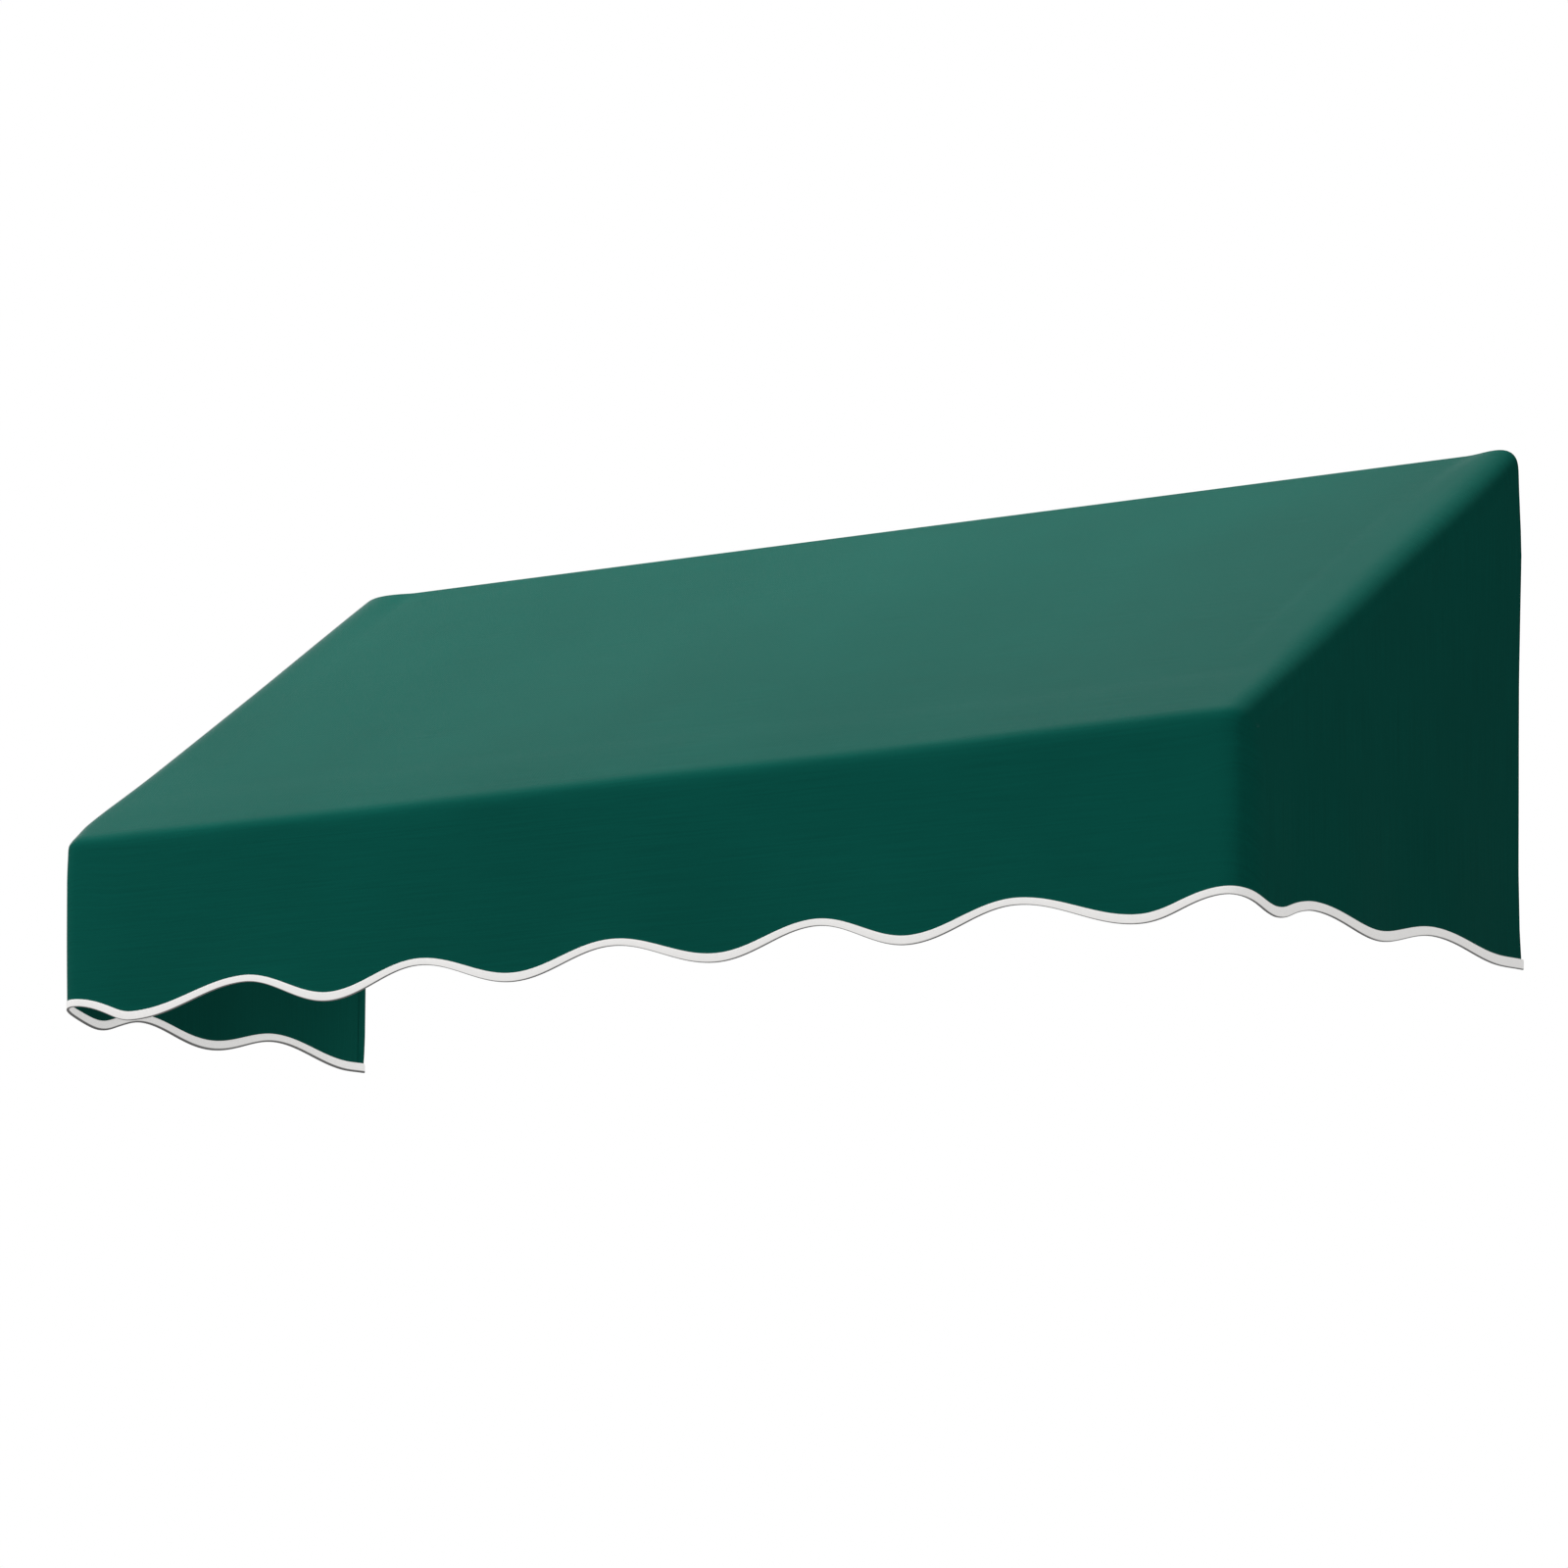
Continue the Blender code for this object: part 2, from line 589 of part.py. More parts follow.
clear_scene()
CLOTH_GREEN = finish("green_awning_cloth", (18, 82, 72), 0.85, 0.0)
SLEEVE_GREEN = finish("green_sleeve_cloth", (15, 68, 60), 0.85, 0.0)
TAPE_WHITE = finish("off_white_tape", (228, 226, 220), 0.8, 0.0)
TUBE_ALUMINIUM = finish("tube_aluminium", (196, 198, 200), 0.38, 1.0)
CAST_ALUMINIUM = finish("cast_aluminium", (168, 170, 172), 0.5, 1.0)
SCREW_STEEL = finish("zinc_plated_screw", (140, 142, 146), 0.35, 1.0)
cover()
side_panel("side_panel_left", -1)
side_panel("side_panel_right", 1)
hem_binding()
side_frame("left", -1)
side_frame("right", 1)
cross_frame()
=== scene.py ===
# Window awning: a sewn cloth cover with a taped wavy hem, on a frame of round aluminium tube
import math

import bmesh
import bpy
import numpy as np
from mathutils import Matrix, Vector


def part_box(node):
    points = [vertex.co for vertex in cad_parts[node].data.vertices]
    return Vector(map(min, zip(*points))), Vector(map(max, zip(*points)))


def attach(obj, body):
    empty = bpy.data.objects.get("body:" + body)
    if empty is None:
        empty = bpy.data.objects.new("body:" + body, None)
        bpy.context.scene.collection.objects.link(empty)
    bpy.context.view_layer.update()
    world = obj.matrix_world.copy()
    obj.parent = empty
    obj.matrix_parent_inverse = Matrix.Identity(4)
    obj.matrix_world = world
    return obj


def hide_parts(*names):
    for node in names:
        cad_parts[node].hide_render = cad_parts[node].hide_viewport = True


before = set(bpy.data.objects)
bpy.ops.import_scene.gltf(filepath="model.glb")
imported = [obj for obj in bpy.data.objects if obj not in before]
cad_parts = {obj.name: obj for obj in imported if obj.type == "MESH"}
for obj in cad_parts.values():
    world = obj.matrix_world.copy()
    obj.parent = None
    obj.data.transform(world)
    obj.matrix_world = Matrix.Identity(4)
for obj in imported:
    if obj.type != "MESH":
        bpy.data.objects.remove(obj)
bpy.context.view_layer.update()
print("frame loaded")

# Overall form, over the outside of the cloth, in metres
form = {
    "halfWidth": 0.820,
    "reach": 0.572,
    "height": 0.589,
    "frontDrop": 0.215,
    "wallGap": 0.003,
    "softEdge": 0.032,  # how far a rounded edge reaches along each face
    "evenTurn": 0.80,  # 0 turns like a plain arc, 1 turns mostly in the middle
    "cloth": 0.0011,
    "hemFold": 0.0006,  # extra thickness of the turned edge at the wall
    "hemWidth": 0.015,
    "hemFade": 0.020,  # the fold fades out over this height, above the tape
}
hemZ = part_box("hem_binding")[0].z
slope = math.atan2(form["height"] - form["frontDrop"], form["reach"])
soft = form["softEdge"]
upSlope = np.array([0, math.cos(slope), math.sin(slope)])
topNormal = np.array([0, -math.sin(slope), math.cos(slope)])
foldSharpZ = hemZ + form["frontDrop"]
coreX = form["halfWidth"] - soft
coreY = -form["reach"] + soft
coreZ = foldSharpZ - soft * (1 - math.sin(slope)) / math.cos(slope)
core = np.array([0, coreY, coreZ])


# Small tools

touching = 0.000002   # points closer than this are one point


def turnCurve(angle, count):
    # a curve of length 1 that turns through the angle: along, down and heading at each step
    fine = 20
    total = count * fine
    mid = (np.arange(total) + 0.5) / total
    wave = form["evenTurn"] / math.tau
    heading = angle * (mid - wave * np.sin(math.tau * mid))
    along = np.concatenate([[0], np.cumsum(np.cos(heading))]) / total
    down = np.concatenate([[0], np.cumsum(np.sin(heading))]) / total
    share = np.linspace(0, 1, total + 1)
    turned = angle * (share - wave * np.sin(math.tau * share))
    return along[::fine], down[::fine], turned[::fine]


def blendStep(value):
    # 0 below 0, 1 above 1, smooth between
    held = np.clip(value, 0, 1)
    return held * held * (3 - 2 * held)


def bell(value):
    # a smooth bump, 1 at 0 and 0 beyond 1
    held = np.clip(np.abs(value), 0, 1)
    return 0.5 + 0.5 * np.cos(np.pi * held)


def linear(value):
    # a screen value of 0 to 255 as a share of light
    share = value / 255
    return share / 12.92 if share <= 0.04045 else ((share + 0.055) / 1.055) ** 2.4


def colourOf(rgb):
    return [linear(v) for v in rgb] + [1.0]


def keep(obj, nodes):
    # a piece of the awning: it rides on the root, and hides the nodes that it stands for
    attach(obj, "root")
    if nodes:
        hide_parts(*nodes)
    return obj


def meshObject(name, points, faces, material, sharp, uvs=None):
    # edges that turn by more than the sharp angle, in degrees, stay crisp
    mesh = bpy.data.meshes.new(name)
    mesh.from_pydata([tuple(p) for p in points], [], faces)
    if uvs is not None:
        layer = mesh.uv_layers.new(name="metres")
        corner = np.empty(len(mesh.loops), dtype=np.int32)
        mesh.loops.foreach_get("vertex_index", corner)
        layer.data.foreach_set("uv", np.asarray(uvs, dtype=np.float32)[corner].ravel())
    mesh.update()
    obj = bpy.data.objects.new(name, mesh)
    bpy.context.scene.collection.objects.link(obj)
    mesh.materials.append(material)
    mesh.shade_smooth()
    mesh.set_sharp_from_angle(angle=math.radians(sharp))
    return obj


def mendMesh(mesh, weld):
    # joins points that touch, if asked, and turns every face outwards
    bm = bmesh.new()
    bm.from_mesh(mesh)
    if weld:
        bmesh.ops.remove_doubles(bm, verts=bm.verts, dist=touching)
    bmesh.ops.recalc_face_normals(bm, faces=bm.faces)
    bm.to_mesh(mesh)
    bm.free()


def sheetObject(name, outer, outward, depth, uv, material):
    # a closed sheet of cloth from a grid of outer points, their normals and the cloth's depth
    rows, cols = outer.shape[:2]
    inner = outer - outward * depth[..., None]
    points = np.concatenate([outer.reshape(-1, 3), inner.reshape(-1, 3)])
    uvs = np.concatenate([uv.reshape(-1, 2), uv.reshape(-1, 2)])
    at = np.arange(rows * cols).reshape(rows, cols)
    under = at + rows * cols
    quads = []
    for i in range(rows - 1):
        for j in range(cols - 1):
            quads.append((at[i, j], at[i + 1, j], at[i + 1, j + 1], at[i, j + 1]))
            quads.append((under[i, j], under[i, j + 1], under[i + 1, j + 1], under[i + 1, j]))
    for j in range(cols - 1):
        quads.append((at[0, j], at[0, j + 1], under[0, j + 1], under[0, j]))
        quads.append((at[-1, j], under[-1, j], under[-1, j + 1], at[-1, j + 1]))
    for i in range(rows - 1):
        quads.append((at[i, 0], under[i, 0], under[i + 1, 0], at[i + 1, 0]))
        quads.append((at[i, -1], at[i + 1, -1], under[i + 1, -1], under[i, -1]))
    obj = meshObject(name, points, [tuple(int(v) for v in q) for q in quads], material, 50, uvs)
    mendMesh(obj.data, weld=True)
    return obj


def gridNormals(grid, fallback):
    # outward ways at a grid's points: the fallback says which side is out, and stands in at a pinch
    acrossGrid = np.gradient(grid, axis=1)
    downGrid = np.gradient(grid, axis=0)
    normal = np.cross(downGrid, acrossGrid)
    size = np.linalg.norm(normal, axis=2, keepdims=True)
    normal = np.where(size > 1e-9, normal / np.maximum(size, 1e-12), fallback)
    turned = (normal * fallback).sum(axis=2, keepdims=True) < 0
    return np.where(turned, -normal, normal)


# Materials

class Nodes:
    # builds a material's node tree a node at a time
    def __init__(self, name):
        self.material = bpy.data.materials.new(name)
        self.material.use_nodes = True
        self.tree = self.material.node_tree
        self.shader = self.tree.nodes["Principled BSDF"]

    def add(self, kind, **values):
        node = self.tree.nodes.new(kind)
        for key, value in values.items():
            setattr(node, key, value)
        return node

    def link(self, source, target):
        self.tree.links.new(source, target)

    def math(self, operation, first, second=0.0, third=0.0):
        node = self.add("ShaderNodeMath", operation=operation)
        for socket, value in zip(node.inputs, (first, second, third)):
            if isinstance(value, (int, float)):
                socket.default_value = value
            else:
                self.link(value, socket)
        return node.outputs[0]

    def noise(self, vector, scale, detail, roughness=0.5):
        node = self.add("ShaderNodeTexNoise")
        node.inputs["Scale"].default_value = scale
        node.inputs["Detail"].default_value = detail
        node.inputs["Roughness"].default_value = roughness
        self.link(vector, node.inputs["Vector"])
        return node.outputs["Fac"]

    def stretched(self, vector, scale):
        node = self.add("ShaderNodeVectorMath", operation="MULTIPLY")
        node.inputs[1].default_value = scale
        self.link(vector, node.inputs[0])
        return node.outputs[0]

    def spread(self, value, low, high):
        # takes a value of about 0.3 to 0.7 to the given range
        node = self.add("ShaderNodeMapRange")
        node.inputs["From Min"].default_value = 0.3
        node.inputs["From Max"].default_value = 0.7
        node.inputs["To Min"].default_value = low
        node.inputs["To Max"].default_value = high
        self.link(value, node.inputs["Value"])
        return node.outputs[0]

    def tint(self, rgb, share):
        # the colour times a share that changes over the surface
        node = self.add("ShaderNodeMix", data_type="RGBA", blend_type="MULTIPLY")
        node.inputs["Factor"].default_value = 1.0
        node.inputs["A"].default_value = rgb
        self.link(share, node.inputs["B"])
        self.link(node.outputs["Result"], self.shader.inputs["Base Color"])

    def metres(self):
        # places on the flat cloth: the whole vector, along and across
        place = self.add("ShaderNodeUVMap", uv_map="metres").outputs["UV"]
        split = self.add("ShaderNodeSeparateXYZ")
        self.link(place, split.inputs[0])
        return place, split.outputs["X"], split.outputs["Y"]

    def mix(self, share, first, second):
        node = self.add("ShaderNodeMixShader")
        for socket, source in zip(node.inputs, (share, first, second)):
            self.link(source, socket)
        return node.outputs[0]

    def give(self, values):
        for socket, value in values.items():
            self.shader.inputs[socket].default_value = value

    def bump(self, height, strength, distance):
        node = self.add("ShaderNodeBump")
        node.inputs["Strength"].default_value = strength
        node.inputs["Distance"].default_value = distance
        self.link(height, node.inputs["Height"])
        self.link(node.outputs["Normal"], self.shader.inputs["Normal"])


weave = {
    "yarn": 0.0011,  # pitch of the yarns
    "yarnShade": 0.10,  # how much darker the gaps between yarns are
    "slubShade": 0.06,  # streaks along the yarns
    "slubScale": (9, 420, 1),
    "slubRise": 1.5,  # how high slubs and fibres stand, next to the yarns
    "fibreScale": (900, 2600, 1),
    "fibreRise": 0.6,
    "patchShade": 0.05,  # broad soft patches
    "patchScale": 3.2,
    "height": 0.00012,
    "relief": 0.55,
    "roughness": 0.80,
    "roughSwing": 0.06,
    "specular": 0.01,
    "sheen": 0.90,
    "sheenRoughness": 0.22,
}


def clothMaterial(name, rgb):
    made = Nodes(name)
    metres, alongCloth, acrossCloth = made.metres()
    turn = math.tau / weave["yarn"] / 2
    warp, weft = [made.math("SINE", made.math("MULTIPLY", way, turn)) for way in (alongCloth, acrossCloth)]
    knit = made.math("MULTIPLY", warp, weft)
    knit = made.math("MULTIPLY_ADD", knit, 0.5, 0.5)
    slub = made.noise(made.stretched(metres, weave["slubScale"]), 1.0, 2)
    fibre = made.noise(made.stretched(metres, weave["fibreScale"]), 1.0, 1)
    patch = made.noise(metres, weave["patchScale"], 2)
    share = made.math("MULTIPLY_ADD", knit, weave["yarnShade"], 1 - weave["yarnShade"] / 2)
    for streaks, shade in ((slub, weave["slubShade"]), (patch, weave["patchShade"])):
        share = made.math("MULTIPLY", share, made.spread(streaks, 1 - shade, 1 + shade))
    made.tint(rgb, share)
    height = made.math("ADD", knit, made.math("MULTIPLY", slub, weave["slubRise"]))
    height = made.math("ADD", height, made.math("MULTIPLY", fibre, weave["fibreRise"]))
    made.bump(height, weave["relief"], weave["height"])
    rough, swing = weave["roughness"], weave["roughSwing"]
    made.link(made.spread(fibre, rough - swing, rough + swing), made.shader.inputs["Roughness"])
    made.give({"Specular IOR Level": weave["specular"], "Sheen Weight": weave["sheen"],
               "Sheen Roughness": weave["sheenRoughness"]})
    return made.material


tapeLook = {
    "rib": 0.0008,  # pitch of the tape's fine ribs
    "ribSlant": 0.6,
    "ribShade": 0.06,
    "patchScale": 60,
    "patchShade": 0.03,
    "height": 0.00008,
    "relief": 0.4,
    "glow": 0.46,  # painted light: the tape glows, though it is no lamp, so it stays evenly light on shaded faces
    "paintedGlowColour": (1.0, 0.985, 0.97, 1.0),
    "foldAt": 0.0110,  # across the tape, from its top edge
    "paintedShadeReach": 0.0030,  # the painted shade reaches this far from the fold
    "paintedShadeCore": 0.6,  # and is even over this share of it
    "paintedShadeLevel": 0.12,
    "roughness": 0.7,
    "specular": 0.3,
    "sheen": 0.1,
}


def tapeMaterial(name, rgb):
    made = Nodes(name)
    metres, alongCloth, acrossCloth = made.metres()
    turn = math.tau / tapeLook["rib"]
    slant = made.math("ADD", alongCloth, made.math("MULTIPLY", acrossCloth, tapeLook["ribSlant"]))
    rib = made.math("MULTIPLY_ADD", made.math("SINE", made.math("MULTIPLY", slant, turn)), 0.5, 0.5)
    patch = made.noise(metres, tapeLook["patchScale"], 3)
    shade = tapeLook["patchShade"]
    share = made.math("MULTIPLY_ADD", rib, tapeLook["ribShade"], 1 - tapeLook["ribShade"] / 2)
    share = made.math("MULTIPLY", share, made.spread(patch, 1 - shade, 1 + shade))
    # painted shade: the underside of the fold is darkened, and its glow taken down, to stand for the shadow
    # under the tape
    fromFold = made.math("ABSOLUTE", made.math("SUBTRACT", acrossCloth, tapeLook["foldAt"]))
    paintedShadeShare = made.add("ShaderNodeMapRange", interpolation_type="SMOOTHSTEP")
    paintedShadeShare.inputs["From Min"].default_value = tapeLook["paintedShadeReach"] * tapeLook["paintedShadeCore"]
    paintedShadeShare.inputs["From Max"].default_value = tapeLook["paintedShadeReach"]
    paintedShadeShare.inputs["To Min"].default_value = tapeLook["paintedShadeLevel"]
    made.link(fromFold, paintedShadeShare.inputs["Value"])
    made.tint(rgb, made.math("MULTIPLY", share, paintedShadeShare.outputs[0]))
    # painted light: the tape's glow, dimmed in the painted shade at the fold
    glow = made.math("MULTIPLY", paintedShadeShare.outputs[0], tapeLook["glow"])
    made.link(glow, made.shader.inputs["Emission Strength"])
    made.bump(made.math("ADD", rib, patch), tapeLook["relief"], tapeLook["height"])
    made.give({"Roughness": tapeLook["roughness"], "Specular IOR Level": tapeLook["specular"],
               "Sheen Weight": tapeLook["sheen"], "Emission Color": tapeLook["paintedGlowColour"]})
    return made.material


metalLook = {
    "lineShade": (0.94, 1.06),
    "lineRough": 0.06,
    "patchScale": 14,
    "patchShade": (0.92, 1.05),
    "patchRough": (-0.05, 0.07),
    "relief": 0.5,
}


def metalMaterial(name, rgb, roughness, grain, height):
    # bare metal with a grain of the given scale along x, y and z
    made = Nodes(name)
    place = made.add("ShaderNodeTexCoord").outputs["Object"]
    lines = made.noise(made.stretched(place, grain), 1.0, 3, 0.6)
    patch = made.noise(place, metalLook["patchScale"], 3)
    made.tint(rgb, made.math("MULTIPLY", made.spread(lines, *metalLook["lineShade"]),
                             made.spread(patch, *metalLook["patchShade"])))
    made.bump(lines, metalLook["relief"], height)
    rough = made.spread(patch, *[roughness + shift for shift in metalLook["patchRough"]])
    rough = made.math("ADD", rough, made.math("MULTIPLY", lines, metalLook["lineRough"]))
    made.link(rough, made.shader.inputs["Roughness"])
    made.give({"Metallic": 1.0})
    return made.material


colours = {
    "cloth": (0.0022, 0.0830, 0.0630, 1.0),
    "sleeve": (0.0030, 0.0640, 0.0480, 1.0),
    "thread": (0.0020, 0.0420, 0.0330, 1.0),
    "tape": (0.44, 0.435, 0.43, 1.0),
    "casting": colourOf((186, 187, 188)),
    "screw": colourOf((150, 152, 156)),
    "tube": colourOf((204, 205, 207)),
}
greenCloth = clothMaterial("green_awning_cloth", colours["cloth"])
greenSleeve = clothMaterial("green_sleeve_cloth", colours["sleeve"])
greenThread = clothMaterial("green_thread", colours["thread"])
whiteTape = tapeMaterial("off_white_tape", colours["tape"])
castMetal = metalMaterial("cast_aluminium", colours["casting"], 0.46, (420, 420, 420), 0.0001)
zincMetal = metalMaterial("zinc_plated_screw", colours["screw"], 0.32, (900, 900, 900), 0.00004)
print("materials made")


# The rounded upright corners, in plan
cornerAlong, cornerDown, cornerTurned = turnCurve(math.pi / 2, 14)
cornerLength = soft / cornerAlong[-1]
cornerAlong = cornerAlong * cornerLength
cornerDown = cornerDown * cornerLength
arcSteps = np.linspace(0, cornerLength, len(cornerAlong))


def roundAt(y):
    # distance round the outside from the middle of the front to a place y on a side
    return coreX + cornerLength + y - coreY


# The wavy hem's highs and lows: places, from the front's middle or from the wall, and heights
hem = {
    "front": [(-0.709, -0.001), (-0.540, 0.0305), (-0.417, -0.001), (-0.288, 0.030), (-0.154, 0.001),
              (-0.014, 0.030), (0.127, 0.001), (0.264, 0.030), (0.386, -0.0005), (0.526, 0.0315),
              (0.687, -0.0015)],
    "left": [(-0.800, 0.021)],
    "leftSide": [(-0.505, 0.003), (-0.418, 0.020), (-0.297, 0.000), (-0.168, 0.022), (-0.030, 0.001),
                 (0.0, 0.0015)],
    "right": [(0.798, 0.021)],
    "rightSide": [(-0.517, 0.002), (-0.432, 0.0168), (-0.305, -0.001), (-0.188, 0.0168), (-0.045, -0.0003),
                  (0.0, 0.0005)],
}
knots = [(-roundAt(y), h) for y, h in reversed(hem["leftSide"])]
knots += hem["left"] + hem["front"] + hem["right"]
knots += [(roundAt(y), h) for y, h in hem["rightSide"]]
knotPlaces = np.array([k[0] for k in knots])
knotHeights = np.array([k[1] for k in knots])


def hemHeight(around):
    # height of the hem's lowest edge over its lowest point
    at = np.clip(np.searchsorted(knotPlaces, around) - 1, 0, len(knots) - 2)
    share = (around - knotPlaces[at]) / (knotPlaces[at + 1] - knotPlaces[at])
    eased = 0.5 - 0.5 * np.cos(np.pi * np.clip(share, 0, 1))
    return knotHeights[at] + (knotHeights[at + 1] - knotHeights[at]) * eased


def planPoint(around):
    # x, y and the outward direction of the skirt, at distances round the outside
    side = np.sign(around)
    size = np.abs(around)
    arc = np.clip(size - coreX, 0, cornerLength)
    turned = np.interp(arc, arcSteps, cornerTurned)
    x = side * (np.minimum(size, coreX) + np.interp(arc, arcSteps, cornerAlong))
    y = -form["reach"] + np.interp(arc, arcSteps, cornerDown) + np.maximum(size - coreX - cornerLength, 0)
    outward = np.stack([side * np.sin(turned), -np.cos(turned), np.zeros_like(turned)], axis=-1)
    return x, y, outward


# How the cloth sits: small rises, sags and ripples added to the plain form. Pairs are left and right.
drape = {
    "topFade": 0.030,  # the top's moves fade out over this depth
    "faceFade": 0.034,  # the same for the front and the sides
    "bayHalf": 0.780,  # from the middle to the rafters
    "leftToRight": (-0.5, 0.5),  # pairs blend from left to right between these places
    "topSag": 0.0016,
    "foldBow": 0.0012,
    "bowDepth": 0.08,
    "cornerLift": (0.0010, 0.0028),  # rise of the top at the front corners
    "liftStart": 0.30,
    "liftWidth": 0.42,
    "liftDepth": 0.09,
    "hump": (0.0016, 0.0028),  # rise over the rafters' ends at the wall
    "humpFromSide": 0.033,
    "humpWidth": 0.040,
    "humpDepth": 0.06,
    "ripples": ((0.268, 0.7, 0.7), (0.41, 2.1, 0.6)),  # waves of the skirt: length, start, share
    "skirtRipple": 0.0022,
    "rippleGrowth": 1.6,
    "sideRipple": 0.0022,
    "sideWave": 0.25,  # length of the side's wave, where it starts, and how it dies out
    "sideWaveStart": 0.06,
    "sideWaveMiddle": 0.3,
    "sideWaveSpread": 0.22,
    "sideWaveGrowth": 0.8,
    "cornerSwell": 0.0012,
    "swellDepth": 0.05,
    "edgeDepth": 0.13,  # the wall edge's moves fade along the side and round the rafter
    "edgeFade": 0.050,
    # how far each rounded edge is pulled out to a tighter turn: 0 not at all, 1 quite sharp
    "pullReach": 0.110,  # points farther than this from the sharp line stay
    "pullFade": 0.072,
    "rafterPull": ((-0.12, -0.38), (0.60, 0.0)),  # along the top, down the side
    "cornerPull": ((0.10, -0.05), (-0.15, -0.22)),  # upright edges: along the front, along the side
    "cornerPullBelow": 0.010,  # it starts this far under the fold
    "cornerPullFade": 0.050,
    "cornerSlack": (0.55, 0.0),  # the pull along the front eases downwards
    "wallPull": (-0.05, 0.60),  # more of the rafter pull at the wall
    "wallPullDepth": 0.04,
    "kneePull": 0.34,  # more of it just behind the front corners
    "kneeAt": 0.06,
    "kneeSpread": 0.06,
    "sidePullShare": 0.5,  # share of both that goes down the side
    "frontHold": 0.25,  # share of the rafter pull that is left at the front
    "frontHoldDepth": 0.045,
    "foldPull": ((-0.18, -0.20), (0.15, -0.22)),  # along the top, down the front
    "foldLeftToRight": (-0.5, 0.7),
    "foldPullFade": 0.06,
}
# the side's wall edge, in and out, from the head to the hem: heights and x offsets
wallEdge = [(0.086, 0.0035), (0.060, 0.0038), (0.017, 0.0044), (-0.032, 0.0064), (-0.094, 0.0040),
            (-0.179, 0.0009), (-0.250, -0.0005), (-0.321, -0.0016), (-0.393, -0.0028),
            (-0.462, -0.0022), (-0.490, -0.0007), (-0.505, 0.0)]
wallEdgeZ = np.array([p[0] for p in reversed(wallEdge)])
wallEdgeX = np.array([p[1] for p in reversed(wallEdge)])


def acrossAt(x, pair):
    # a left and right value, blended across the awning
    return np.interp(x, drape["leftToRight"], pair)


def tighten(first, second, firstShift, secondShift):
    # moves points near an edge towards the sharp line that its two faces would meet in
    near = blendStep((drape["pullReach"] - np.hypot(first, second)) / drape["pullFade"])
    return near[..., None] * (first[..., None] * firstShift + second[..., None] * secondShift)


def topRise(x, y, fromSide, fromFront):
    # how far the top stands over its plain slope
    bay = np.sin(np.pi * np.clip(np.abs(x) / drape["bayHalf"], 0, 1))
    span = np.sin(np.pi * np.clip(fromFront / form["reach"], 0, 1))
    rise = -drape["topSag"] * bay ** 2 * span
    hump = bell((fromSide - drape["humpFromSide"]) / drape["humpWidth"])
    rise = rise + acrossAt(x, drape["hump"]) * hump * np.exp(y / drape["humpDepth"])
    atEnd = blendStep((np.abs(x) - drape["liftStart"]) / drape["liftWidth"])
    rise = rise + acrossAt(x, drape["cornerLift"]) * atEnd * np.exp(-fromFront / drape["liftDepth"])
    return rise - drape["foldBow"] * bay * np.exp(-fromFront / drape["bowDepth"])


def settle(points):
    # moves points of the plain form to where the hung cloth lies
    x, y, z = points[..., 0], points[..., 1], points[..., 2]
    side = np.sign(x)
    fromSide = form["halfWidth"] - np.abs(x)
    fromFront = y + form["reach"]
    underTop = (foldSharpZ + fromFront * math.tan(slope) - z) * math.cos(slope)
    topness = blendStep(1 - underTop / drape["topFade"])
    frontness = blendStep(1 - fromFront / drape["faceFade"]) * (1 - topness)
    sideness = blendStep(1 - fromSide / drape["faceFade"]) * (1 - topness)
    moved = topness[..., None] * topRise(x, y, fromSide, fromFront)[..., None] * topNormal
    outward = np.stack([side, 0 * side, 0 * side], axis=-1)
    ahead = np.array([0, -1, 0])
    upward = np.array([0, 0, 1])
    # the edges along the rafters
    more = acrossAt(x, drape["wallPull"]) * np.exp(y / drape["wallPullDepth"])
    more = more + drape["kneePull"] * np.exp(-((fromFront - drape["kneeAt"]) / drape["kneeSpread"]) ** 2)
    hold = drape["frontHold"] + (1 - drape["frontHold"]) * blendStep(fromFront / drape["frontHoldDepth"])
    along, down = [np.where(side < 0, *pair) for pair in drape["rafterPull"]]
    along = (hold * (along + more))[..., None]
    down = (hold * (down + more * drape["sidePullShare"]))[..., None]
    moved = moved + tighten(fromSide, underTop, along * outward, down * upward / math.cos(slope))
    # the upright edges at the front corners
    below = (foldSharpZ - drape["cornerPullBelow"] - z) / drape["cornerPullFade"]
    below = blendStep(below)[..., None]
    low = np.clip((foldSharpZ - z) / form["frontDrop"], 0, 1)
    front, back, slack = [np.where(side < 0, *pair)[..., None]
                          for pair in (*drape["cornerPull"], drape["cornerSlack"])]
    front = front + slack * (0.5 - low[..., None])
    moved = moved + tighten(fromSide, fromFront, front * below * outward, back * below * ahead)
    # the fold between top and front
    inside = blendStep(fromSide / drape["foldPullFade"])
    along, down = [(np.interp(x, drape["foldLeftToRight"], pair) * inside)[..., None]
                   for pair in drape["foldPull"]]
    moved = moved + tighten(fromFront, underTop / math.cos(slope),
                            -along * upSlope / math.cos(slope), down * upward)
    # the waves of the skirt and of the sides
    ripple = sum(np.sin(math.tau * x / length + start) * share for length, start, share in drape["ripples"])
    outY = -drape["skirtRipple"] * ripple * low ** drape["rippleGrowth"] * frontness * (1 - sideness)
    swell = drape["cornerSwell"] * np.sin(np.pi * low) * np.exp(-fromFront / drape["swellDepth"])
    edge = np.interp(z, wallEdgeZ, wallEdgeX) * np.exp(-(y / drape["edgeDepth"]) ** 2)
    edge = edge * blendStep(1 - fromSide / drape["edgeFade"])
    wave = np.sin(math.tau * (y + drape["sideWaveStart"]) / drape["sideWave"])
    wave = wave * np.exp(-((y + drape["sideWaveMiddle"]) / drape["sideWaveSpread"]) ** 2)
    outX = edge + sideness * (swell - drape["sideRipple"] * wave * low ** drape["sideWaveGrowth"])
    return points + moved + np.stack([side * outX, outY, np.zeros_like(outY)], axis=-1)


